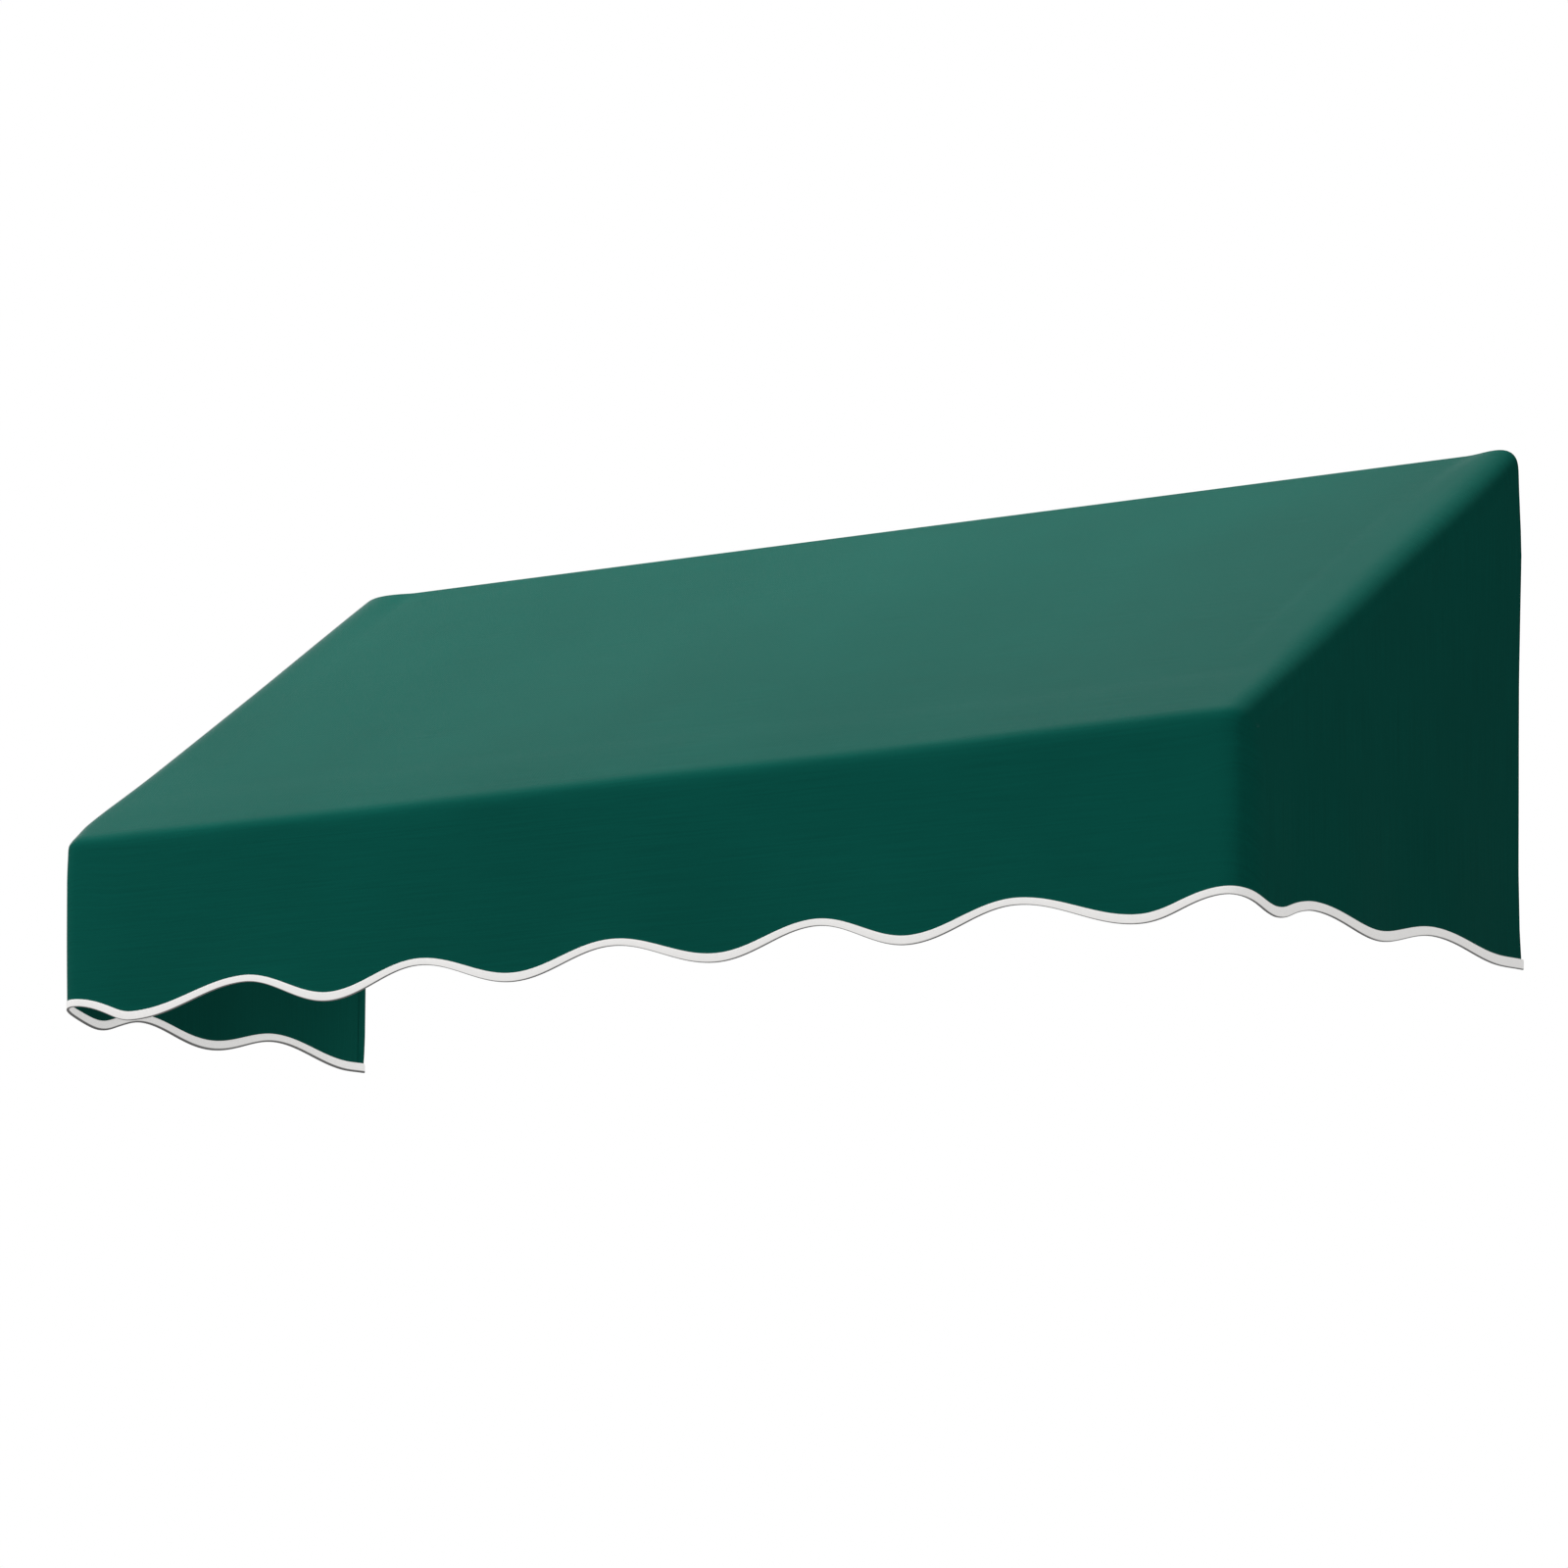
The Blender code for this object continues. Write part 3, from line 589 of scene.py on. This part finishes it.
# The cover: top and front in one run, with its edges turned down round rafters and corners
cover = {
    "acrossSteps": 200,
    "topSteps": 80,
    "frontSteps": 26,
    "foldSteps": 9,
    "edgeAboveHem": 0.0016,  # the raw edge, inside the tape
    "hemRows": (0.995, 1.03),  # rows just before and after the turned edge's end
}
foldTurn = math.pi / 2 - slope
foldAlong, foldDown = turnCurve(foldTurn, cover["foldSteps"])[:2]
tangent = foldAlong[-1] - foldDown[-1] / math.tan(foldTurn)
foldLength = soft * math.tan(foldTurn / 2) / tangent
foldOffsets = [-upSlope * a + topNormal * (soft - d)
               for a, d in zip(foldAlong * foldLength, foldDown * foldLength)]

flat = np.linspace(-coreX, coreX, cover["acrossSteps"] + 1)
colX = np.concatenate([-coreX - cornerAlong[:0:-1], flat, coreX + cornerAlong[1:]])
colShare = np.concatenate([(soft - cornerDown[:0:-1]) / soft, np.ones(len(flat)),
                           (soft - cornerDown[1:]) / soft])
colAround = np.concatenate([-coreX - arcSteps[:0:-1], flat, coreX + arcSteps[1:]])
topShares = np.linspace(0, 1, cover["topSteps"] + 1)
# two rows more near the wall, so that the turned edge there ends in a crisp step
hemShare = form["hemWidth"] / ((-coreY) / math.cos(slope))
topShares = np.unique(np.concatenate([topShares, [hemShare * share for share in cover["hemRows"]]]))
frontShares = np.linspace(0, 1, cover["frontSteps"] + 1)


def topLength(share):
    # length of the slope from the core's corner to the wall, for a column at that share of the depth
    return (-form["wallGap"] + soft * math.sin(slope) * share - coreY) / math.cos(slope)


rows = []
downs = []
for t in topShares:
    reach = topLength(colShare) * (1 - t)
    line = core + upSlope * reach[:, None] + topNormal * soft * colShare[:, None]
    line[:, 0] = colX
    rows.append(line)
    downs.append(topLength(colShare) * t)
for k, offset in enumerate(foldOffsets[1:], 1):
    line = core + offset * colShare[:, None]
    line[:, 0] = colX
    rows.append(line)
    downs.append(topLength(colShare) + foldLength * k / (len(foldOffsets) - 1))
hemLine = hemZ + hemHeight(colAround) + cover["edgeAboveHem"]
for t in frontShares[1:]:
    line = np.zeros((len(colX), 3))
    line[:, 0] = colX
    line[:, 1] = coreY - soft * colShare
    line[:, 2] = coreZ + (hemLine - coreZ) * t
    rows.append(line)
    downs.append(topLength(colShare) + foldLength + (coreZ - line[:, 2]))
grid = np.array(rows)
downGrid = np.array(downs)
fallback = np.zeros_like(grid)
fallback[..., 0] = colX / form["halfWidth"] * 0.2
fallback[..., 1:] = (-0.5, 0.5)
# the outermost columns lie in the sides and face sideways
facing = np.sign(colX[colShare < 0.05])
fallback[:, colShare < 0.05, :] = np.stack([facing, 0 * facing, 0 * facing], axis=-1)
settled = settle(grid)
outward = gridNormals(settled, fallback)
depth = np.full(grid.shape[:2], form["cloth"])
turnedEdge = topShares <= hemShare
depth[:len(topShares)][turnedEdge] += form["hemFold"]
uv = np.stack([np.broadcast_to(colAround, downGrid.shape), -downGrid], axis=-1)
coverPiece = sheetObject("awning_cover", settled, outward, depth, uv, greenCloth)
keep(coverPiece, ["cover"])
print("cover made", len(coverPiece.data.vertices))


# The closed sides
for word, side in (("left", -1), ("right", 1)):
    lengths = topLength(0) * (1 - topShares)
    lineY = (coreY + lengths * math.cos(slope))[::-1]
    topZ = (coreZ + lengths * math.sin(slope))[::-1]
    around = roundAt(lineY)
    bottomZ = hemZ + hemHeight(side * around) + cover["edgeAboveHem"]
    heights = topZ[None, :] + (bottomZ - topZ)[None, :] * frontShares[:, None]
    panel = np.zeros(heights.shape + (3,))
    panel[..., 0] = side * form["halfWidth"]
    panel[..., 1] = lineY[None, :]
    panel[..., 2] = heights
    fallback = np.zeros_like(panel)
    fallback[..., 0] = side
    settled = settle(panel)
    depth = np.full(panel.shape[:2], form["cloth"])
    turned = lineY > -form["wallGap"] - form["hemWidth"] * math.cos(slope)
    depth += form["hemFold"] * turned * blendStep((heights - bottomZ) / form["hemFade"])
    uv = np.stack([panel[..., 2], panel[..., 1] * side], axis=-1)
    piece = sheetObject(f"awning_side_{word}", settled, gridNormals(settled, fallback), depth, uv, greenCloth)
    keep(piece, [f"side_panel_{word}"])
print("sides made")


# The tape over the raw hem, from wall to wall
tape = {
    "step": 0.004,
    "height": 0.0092,
    "heightSwing": 0.0012,  # taller at the lows, lower at the highs
    "sideExtra": 0.0012,
    "leg": 0.0007,  # thickness of the tape itself
    "halfGap": 0.0008,  # half the space that the cloth takes between the legs
    "wallGap": 0.0006,
    "puff": 0.0002,
    "puffAt": (0.72, 0.45, 0.24),  # heights of the puffed part and its foot, as shares
    "bottomRise": 0.0009,  # height of the rounded bottom
    "bottomStart": 0.15,  # where its turn starts, in radians
    "clothRest": 0.0018,  # the cloth's raw edge rests on the fold here
    "foldInside": 0.0011,
    # the rounded top edge of each leg: how far in and how far down
    "lip": ((0.00035, 0.0), (0.0001, 0.00012), (0.0, 0.0004)),
    "highest": 0.030,  # the hem's height at a high
}
hemReach = roundAt(-tape["wallGap"])
count = int(round(2 * hemReach / tape["step"]))
stations = np.linspace(-hemReach, hemReach, count + 1)


def hemFrame(around, rise=0.0):
    # points on the hem's lowest edge, and there the ways along, out and up
    def place(s):
        x, y, out = planPoint(s)
        base = np.stack([x, y, hemZ + hemHeight(s)], axis=-1)
        return settle(base) - out * form["cloth"] / 2, out
    step = 0.0005
    here, out = place(around)
    ahead = place(np.clip(around + step, -hemReach, hemReach))[0]
    behind = place(np.clip(around - step, -hemReach, hemReach))[0]
    along = ahead - behind
    along /= np.linalg.norm(along, axis=-1, keepdims=True)
    out = out - along * (out * along).sum(axis=-1, keepdims=True)
    out /= np.linalg.norm(out, axis=-1, keepdims=True)
    up = np.cross(along, out)
    up *= np.sign(up[..., 2:3])
    return here + up * rise, along, out, up


def tapeSection():
    # the folded tape across: outer leg, rounded bottom, inner leg, then back inside
    far, near = tape["halfGap"] + tape["leg"], tape["halfGap"]
    top, rest, fold = tape["height"], tape["clothRest"], tape["foldInside"]
    outerLeg = [(far - inward, top - down) for inward, down in tape["lip"]]
    puffs = (tape["puff"], tape["puff"], 0)
    outerLeg += [(far + puff, top * share) for puff, share in zip(puffs, tape["puffAt"])]
    bottom = []
    for a in np.linspace(tape["bottomStart"], math.pi - tape["bottomStart"], 9):
        across = math.copysign(abs(math.cos(a)) ** 0.5, math.cos(a))
        bottom.append((far * across, tape["bottomRise"] * (1 - math.sin(a))))
    innerLeg = [(-x, z) for x, z in reversed(outerLeg)]
    inside = [(-near, top), (-near, rest), (-near * 0.5, fold), (near * 0.5, fold), (near, rest), (near, top)]
    return outerLeg + bottom + innerLeg + inside


def tapeHeight(around):
    # the tape's height at each place, as a share of its plain height
    swing = tape["heightSwing"] * (1 - 2 * np.clip(hemHeight(around) / tape["highest"], 0, 1))
    extra = tape["sideExtra"] * blendStep((np.abs(around) - coreX) / cornerLength)
    return 1 + (swing + extra) / tape["height"]


section = np.array(tapeSection())
here, along, out, up = hemFrame(stations)
lifts = section[None, :, 1] * tapeHeight(stations)[:, None]
loops = here[:, None, :] + out[:, None, :] * section[None, :, 0:1] + up[:, None, :] * lifts[..., None]
size = len(section)
travel = np.concatenate([[0], np.cumsum(np.linalg.norm(np.diff(section, axis=0), axis=1))])
tapeUv = np.stack([np.broadcast_to(stations[:, None], loops.shape[:2]),
                   np.broadcast_to(travel[None, :], loops.shape[:2])], axis=-1)
faces = []
for i in range(len(stations) - 1):
    for j in range(size):
        k = (j + 1) % size
        faces.append((i * size + j, i * size + k, (i + 1) * size + k, (i + 1) * size + j))
faces.append(tuple(range(size)))
faces.append(tuple((len(stations) - 1) * size + j for j in reversed(range(size))))
bindingPiece = meshObject("awning_binding", loops.reshape(-1, 3), faces, whiteTape, 55, tapeUv.reshape(-1, 2))
mendMesh(bindingPiece.data, weld=False)
keep(bindingPiece, ["hem_binding"])


def stitchRun(name, places, alongs, outs, material, size):
    # a run of short stitches lying on a surface, each of the given length, width and height
    ringSteps = 6
    profile = [(-0.5, 0.15), (-0.42, 0.75), (-0.2, 1.0), (0.2, 1.0), (0.42, 0.75), (0.5, 0.15)]
    points = []
    faces = []
    for p, a, o in zip(places, alongs, outs):
        sideways = np.cross(a, o)
        base = len(points)
        for k, (shift, wide) in enumerate(profile):
            for m in range(ringSteps):
                angle = math.tau * m / ringSteps
                points.append(p + a * shift * size[0] + sideways * math.cos(angle) * wide * size[1] / 2
                              + o * math.sin(angle) * wide * size[2])
        for k in range(len(profile) - 1):
            for m in range(ringSteps):
                n = (m + 1) % ringSteps
                faces.append((base + k * ringSteps + m, base + k * ringSteps + n,
                              base + (k + 1) * ringSteps + n, base + (k + 1) * ringSteps + m))
        faces.append(tuple(base + m for m in reversed(range(ringSteps))))
        faces.append(tuple(base + (len(profile) - 1) * ringSteps + m for m in range(ringSteps)))
    piece = meshObject(name, points, faces, material, 70, np.zeros((len(points), 2)))
    return keep(piece, [])


stitch = {
    "pitch": 0.0048,
    "long": 0.0034,
    "wide": 0.00055,
    "tall": 0.00022,
    "fromTop": 0.0022,  # from the tape's top edge
    "fromWall": 0.004,
    "sunk": 0.9,  # share of the puff that the stitches stand out by
}
spots = np.arange(-hemReach + stitch["fromWall"], hemReach - stitch["fromWall"], stitch["pitch"])
offset = tape["halfGap"] + tape["leg"] + tape["puff"] * stitch["sunk"]
for face in (1, -1):
    here, along, out, up = hemFrame(spots, (tape["height"] * tapeHeight(spots) - stitch["fromTop"])[:, None])
    stitchRun(f"awning_binding_stitches_{'out' if face > 0 else 'in'}",
                                  here + out * face * offset, along, out * face, whiteTape,
                                  (stitch["long"], stitch["wide"], stitch["tall"]))
print("binding made")


# Sleeves of cloth, sewn under the cover and looped round the tubes
sleeve = {
    "cloth": 0.0010,
    "loop": 0.0176,  # from the tube's middle to the middle of the cloth
    "cover": 0.0211,  # from the tube's middle to the flange, under the cover
    "post": 0.0205,  # the same at the posts, where the side draws in
    "flange": 0.014,
    "wallFlange": 0.0045,
    "ease": 0.0016,  # softness of its bends
    "slack": 0.0012,
    "slackWaves": (31, 17, 12.3),  # how fast the slack comes and goes along it, and how it starts
    "arcSteps": 12,
    "pathStep": 0.0013,
    "step": 0.016,
    "endStep": 0.0015,  # the turned ends: their width, and the thickness that they add
    "endFold": 0.0006,
    "endFree": 0.012,
    "stitchPitch": 0.0048,
    "stitchFromEnd": 0.006,
    "stitchAcross": 0.6,  # across the flange, from the loop
    "stitchSize": (0.0032, 0.0006, 0.00025),
}


def easedPath(points):
    # a smooth path through the points, evenly stepped
    points = np.array(points)
    lengths = np.concatenate([[0], np.cumsum(np.linalg.norm(np.diff(points, axis=0), axis=1))])
    count = int(round(lengths[-1] / sleeve["pathStep"])) + 1
    places = np.linspace(0, lengths[-1], count)
    dense = np.stack([np.interp(places, lengths, points[:, k]) for k in range(3)], axis=-1)
    reach = 4
    weights = np.exp(-0.5 * (np.arange(-reach, reach + 1) * sleeve["pathStep"] / sleeve["ease"]) ** 2)
    weights /= weights.sum()
    before = dense[0] + (dense[0] - dense[1]) * np.arange(reach, 0, -1)[:, None]
    after = dense[-1] + (dense[-1] - dense[-2]) * np.arange(1, reach + 1)[:, None]
    padded = np.concatenate([before, dense, after])
    return np.stack([np.convolve(padded[:, k], weights, mode="valid") for k in range(3)], axis=-1), places


def makeSleeve(node, tube, axis, first, second, flanges, cover):
    # first and second: the ways along the cloth on either side of the tube, and its normals there
    low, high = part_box(node)
    tubeLow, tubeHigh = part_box(tube)
    middle = (np.array(tubeLow) + np.array(tubeHigh)) / 2
    run = 0 if axis[0] else 2
    startAt, endAt = np.array(low)[run], np.array(high)[run]
    (wayA, normalA), (wayB, normalB) = [[np.array(v, dtype=float) for v in pair] for pair in (first, second)]
    loop = sleeve["loop"]
    below = -(normalA + normalB)
    below /= np.linalg.norm(below)
    half = math.acos(wayA.dot(below))
    points = [wayA * (loop + flanges[0]) + normalA * cover, wayA * loop + normalA * cover]
    steps = sleeve["arcSteps"]
    for k in range(steps + 1):
        turn = half * k / steps
        points.append((wayA * math.sin(half - turn) + below * math.sin(turn)) * loop / math.sin(half))
    for k in range(1, steps + 1):
        turn = half * k / steps
        points.append((below * math.sin(half - turn) + wayB * math.sin(turn)) * loop / math.sin(half))
    points += [wayB * loop + normalB * cover, wayB * (loop + flanges[1]) + normalB * cover]
    path, travel = easedPath(points)
    length = endAt - startAt
    ends = [0.0, sleeve["endStep"]]
    ends += list(np.arange(sleeve["endFree"], length - sleeve["endFree"], sleeve["step"]))
    ends = np.array(ends + [length - sleeve["endStep"], length])
    axis = np.array(axis, dtype=float)
    ahead = np.gradient(path, axis=0)
    normal = np.cross(axis, ahead)
    normal /= np.linalg.norm(normal, axis=1, keepdims=True)
    if (normal * path).sum() < 0:
        normal = -normal
    hang = np.clip(path.dot(below) / loop, 0, 1) ** 2
    quick, shift, slow = sleeve["slackWaves"]
    wave = 0.5 + 0.5 * np.sin(ends * quick + startAt * shift) * np.cos(ends * slow)
    grid = middle + path[:, None, :]
    grid = np.repeat(grid, len(ends), axis=1)
    grid[..., run] = startAt + ends[None, :]
    grid = grid + (normal * hang[:, None])[:, None, :] * (sleeve["slack"] * wave)[None, :, None]
    thick = np.full(grid.shape[:2], sleeve["cloth"])
    thick[:, [0, -1]] += sleeve["endFold"]
    outer = np.repeat(normal[:, None, :], len(ends), axis=1)
    uv = np.stack([np.broadcast_to(startAt + ends, grid.shape[:2]),
                   np.broadcast_to(travel[:, None], grid.shape[:2])], axis=-1)
    piece = sheetObject(f"awning_{node}", grid + outer * sleeve["cloth"] / 2, outer, thick, uv, greenSleeve)
    keep(piece, [node])
    spots = np.arange(sleeve["stitchFromEnd"], length - sleeve["stitchFromEnd"], sleeve["stitchPitch"])
    runs = []
    for way, facing, flange in ((wayA, normalA, flanges[0]), (wayB, normalB, flanges[1])):
        place = middle + way * (loop + flange * sleeve["stitchAcross"])
        place = place + facing * (cover - sleeve["cloth"] / 2)
        places = np.repeat(place[None, :], len(spots), axis=0)
        places[:, run] = startAt + spots
        runs.append((places, np.repeat(axis[None, :], len(spots), axis=0),
                     np.repeat(-facing[None, :], len(spots), axis=0)))
    places, alongs, outs = [np.concatenate(part) for part in zip(*runs)]
    seam = stitchRun(f"awning_{node}_stitches", places, alongs, outs, greenThread,
                     sleeve["stitchSize"])


fullFlanges = (sleeve["flange"], sleeve["flange"])
for word, side in (("left", -1), ("right", 1)):
    makeSleeve(f"head_sleeve_{word}", "head_rail", (1, 0, 0), (upSlope, topNormal), (-upSlope, topNormal),
               fullFlanges, sleeve["cover"])
    makeSleeve(f"front_sleeve_{word}", "front_bar", (1, 0, 0), (upSlope, topNormal), ((0, 0, -1), (0, -1, 0)),
               fullFlanges, sleeve["cover"])
    makeSleeve(f"post_sleeve_{word}", f"wall_post_{word}", (0, 0, 1), ((0, 1, 0), (side, 0, 0)),
               ((0, -1, 0), (side, 0, 0)), (sleeve["wallFlange"], sleeve["flange"]), sleeve["post"])
print("sleeves made")


# Round tubes with eased rims
pipe = {
    "wall": 0.0020,
    "rim": 0.0006,
    "rimSteps": 4,
    "sides": 48,
    "roughness": 0.30,
    "grainHeight": 0.00006,
    # tubes by the way they lie, each with the grain that runs along it
    "ways": {
        "across": ((6, 900, 900), ("head_rail", "front_bar")),
        "slope": ((900, 40, 40), ("rafter_left", "rafter_middle", "rafter_right")),
        "along": ((900, 8, 900), ("side_arm_left", "side_arm_right")),
        "upright": ((900, 900, 6), ("wall_post_left", "wall_post_right")),
    },
}


def makeTube(node, material):
    # a hollow tube with the place, length and radius of the node's solid
    points = np.array([v.co[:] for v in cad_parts[node].data.vertices])
    middle = (points.min(axis=0) + points.max(axis=0)) / 2
    axis = np.linalg.svd(points - middle)[2][0]
    along = (points - middle).dot(axis)
    radius = np.linalg.norm(points - middle - along[:, None] * axis, axis=1).max()
    across = np.cross(axis, (1, 0, 0) if abs(axis[0]) < 0.5 else (0, 0, 1))
    across /= np.linalg.norm(across)
    other = np.cross(axis, across)
    rim, inner = pipe["rim"], radius - pipe["wall"]
    corner = [(rim - rim * math.cos(a), rim - rim * math.sin(a))
              for a in np.linspace(0, math.pi / 2, pipe["rimSteps"])]
    # the wall's section: out along the outside, round the far rim, back along the inside
    section = [(along.min() + back, radius - down) for down, back in corner[::-1]]
    section += [(along.max() - back, radius - down) for down, back in corner]
    section += [(along.max() - back, inner + down) for down, back in corner[::-1]]
    section += [(along.min() + back, inner + down) for down, back in corner]
    rings = []
    for k in range(pipe["sides"]):
        angle = math.tau * k / pipe["sides"]
        way = across * math.cos(angle) + other * math.sin(angle)
        rings.append([middle + axis * a + way * r for a, r in section])
    size = len(section)
    faces = []
    for k in range(pipe["sides"]):
        n = (k + 1) % pipe["sides"]
        for m in range(size):
            o = (m + 1) % size
            faces.append((k * size + m, n * size + m, n * size + o, k * size + o))
    piece = meshObject(f"awning_{node}", np.array(rings).reshape(-1, 3), faces, material, 50)
    mendMesh(piece.data, weld=True)
    keep(piece, [node])


for way, (grain, nodes) in pipe["ways"].items():
    metal = metalMaterial(f"tube_aluminium_{way}", colours["tube"], pipe["roughness"], grain,
                          pipe["grainHeight"])
    for node in nodes:
        makeTube(node, metal)
print("tubes made")


# Castings with their edges softened, as they come out of a mould
mould = {"grain": 0.0016, "soften": 0.5, "times": 4}
castNames = [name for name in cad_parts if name.endswith(("_corner_left", "_corner_right"))
             or name in ("head_bracket", "front_tee")]
for name in castNames:
    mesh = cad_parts[name].data.copy()
    mesh.name = f"awning_{name}"
    mesh.materials.clear()
    mesh.materials.append(castMetal)
    piece = bpy.data.objects.new(f"awning_{name}", mesh)
    bpy.context.scene.collection.objects.link(piece)
    skin = piece.modifiers.new("skin", "REMESH")
    skin.mode = "VOXEL"
    skin.voxel_size = mould["grain"]
    skin.use_smooth_shade = True
    soften = piece.modifiers.new("soften", "SMOOTH")
    soften.factor = mould["soften"]
    soften.iterations = mould["times"]
    graph = bpy.context.evaluated_depsgraph_get()
    made = bpy.data.meshes.new_from_object(piece.evaluated_get(graph))
    piece.modifiers.clear()
    piece.data = made
    keep(piece, [name])
for name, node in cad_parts.items():
    if "_screw_" in name:
        node.data.materials.clear()
        node.data.materials.append(zincMetal)
print("frame finished")


# Floor, light and camera
floorLook = {
    "drop": 2.15,
    "half": 40.0,
    "colour": (0.86, 0.86, 0.86, 1),
    "roughness": 0.9,
    "specular": 0.1,
    "pale": 0.93,
    "paleShare": 0.7,
}
half, level = floorLook["half"], -floorLook["drop"]
corners = [(-half, -half, level), (half, -half, level), (half, half, level), (-half, half, level)]
floorMesh = bpy.data.meshes.new("floor")
floorMesh.from_pydata(corners, [], [(0, 1, 2, 3)])
floor = bpy.data.objects.new("floor", floorMesh)
bpy.context.scene.collection.objects.link(floor)
ground = Nodes("floor_paint")
ground.give({"Base Color": floorLook["colour"], "Roughness": floorLook["roughness"],
             "Specular IOR Level": floorLook["specular"]})
# pale to the eye and in reflections, with the shadow left on it
glow = ground.add("ShaderNodeEmission")
glow.inputs["Strength"].default_value = floorLook["pale"]
ray = ground.add("ShaderNodeLightPath")
seen = ground.math("ADD", ray.outputs["Is Camera Ray"], ray.outputs["Is Glossy Ray"])
seen = ground.math("ADD", seen, ray.outputs["Is Transmission Ray"])
seen = ground.math("MULTIPLY", ground.math("MINIMUM", seen, 1.0), floorLook["paleShare"])
paint = ground.mix(seen, ground.shader.outputs[0], glow.outputs[0])
# clear from below
below = ground.add("ShaderNodeNewGeometry").outputs["Backfacing"]
clear = ground.add("ShaderNodeBsdfTransparent")
mixed = ground.mix(below, paint, clear.outputs[0])
ground.link(mixed, ground.tree.nodes["Material Output"].inputs["Surface"])
floorMesh.materials.append(ground.material)
floor.visible_diffuse = False

studio = {
    # light of the room from above, level and from below, and where each starts, 0 down to 1 up
    "above": 0.14,
    "level": 0.40,
    "below": 0.35,
    "turns": (0.40, 0.5, 0.62),
    # each lamp: where it stands, where it points, its size and its power
    "lamps": {
        "key": ((-1.6, -3.1, 2.9), (0, -0.3, -0.1), 1.4, 133.0),
        "left": ((-3.4, -1.3, 0.4), (-0.8, -0.5, -0.3), 0.8, 18.0),
        "right": ((3.2, -2.4, 0.2), (0.8, -0.3, -0.1), 1.6, 20.0),
        "back": ((-0.7, 1.5, 2.9), (0, -0.25, 0), 1.2, 58.0),
        "over": ((0.1, 0.3, 2.5), (0, -0.25, 0), 1.0, 42.0),
        "under": ((-0.20, 0.45, -0.85), (-0.8, -0.10, -0.42), 0.4, 2.6),
    },
}
world = bpy.data.worlds.new("studio")
bpy.context.scene.world = world
world.use_nodes = True
tree = world.node_tree
tree.nodes.clear()
room = {word: tree.nodes.new(kind) for word, kind in (
    ("coords", "ShaderNodeTexCoord"), ("parts", "ShaderNodeSeparateXYZ"), ("lift", "ShaderNodeMath"),
    ("ramp", "ShaderNodeValToRGB"), ("light", "ShaderNodeBackground"), ("white", "ShaderNodeBackground"),
    ("ray", "ShaderNodeLightPath"), ("straight", "ShaderNodeMath"), ("seen", "ShaderNodeMath"),
    ("choose", "ShaderNodeMixShader"), ("out", "ShaderNodeOutputWorld"))}
room["lift"].operation = "MULTIPLY_ADD"
room["lift"].inputs[1].default_value = 0.5
room["lift"].inputs[2].default_value = 0.5
room["straight"].operation = "ADD"
room["seen"].operation = "ADD"
room["seen"].use_clamp = True
room["white"].inputs["Color"].default_value = (1, 1, 1, 1)
bands = room["ramp"].color_ramp.elements
bands[0].position, bands[1].position = studio["turns"][0], studio["turns"][2]
bands.new(studio["turns"][1])
for band, word in zip(bands, ("below", "level", "above")):
    band.color = [studio[word]] * 3 + [1]
# the room's light falls on everything, but the eye and reflections see plain white
for source, output, target, socket in (
        ("coords", "Generated", "parts", 0), ("parts", "Z", "lift", 0), ("lift", 0, "ramp", 0),
        ("ramp", 0, "light", "Color"), ("ray", "Is Camera Ray", "straight", 0),
        ("ray", "Is Glossy Ray", "straight", 1), ("straight", 0, "seen", 0),
        ("ray", "Is Transmission Ray", "seen", 1), ("seen", 0, "choose", 0), ("light", 0, "choose", 1),
        ("white", 0, "choose", 2), ("choose", 0, "out", "Surface")):
    tree.links.new(room[source].outputs[output], room[target].inputs[socket])


def softLamp(name, place, aim, size, power):
    data = bpy.data.lights.new(name, "AREA")
    data.shape = "DISK"
    data.size = size
    data.energy = power
    lamp = bpy.data.objects.new(name, data)
    bpy.context.scene.collection.objects.link(lamp)
    lamp.location = place
    lamp.rotation_mode = "QUATERNION"
    lamp.rotation_quaternion = (Vector(aim) - lamp.location).to_track_quat("-Z", "Y")
    lamp.visible_camera = False


for word, lamp in studio["lamps"].items():
    softLamp(word, *lamp)

shot = {
    "azimuth": 35.691,
    "elevation": -8.847,
    "lens": 197.875,
    "sensor": 36,
    "farthest": 200,
    "place": (5.6796, -8.1703, -1.2650),  # its height counts from the hem's lowest point
}
cameraData = bpy.data.cameras.new("camera")
cameraData.lens = shot["lens"]
cameraData.sensor_width = shot["sensor"]
camera = bpy.data.objects.new("camera", cameraData)
bpy.context.scene.collection.objects.link(camera)
camera.location = Vector(shot["place"]) + Vector((0, 0, hemZ))
azimuth, elevation = math.radians(shot["azimuth"]), math.radians(shot["elevation"])
back = Vector((math.sin(azimuth) * math.cos(elevation), -math.cos(azimuth) * math.cos(elevation),
               math.sin(elevation)))
camera.rotation_mode = "QUATERNION"
camera.rotation_quaternion = (-back).to_track_quat("-Z", "Y")
cameraData.clip_end = shot["farthest"]
bpy.context.scene.camera = camera
bpy.context.scene.view_settings.view_transform = "Standard"
print("stage set")
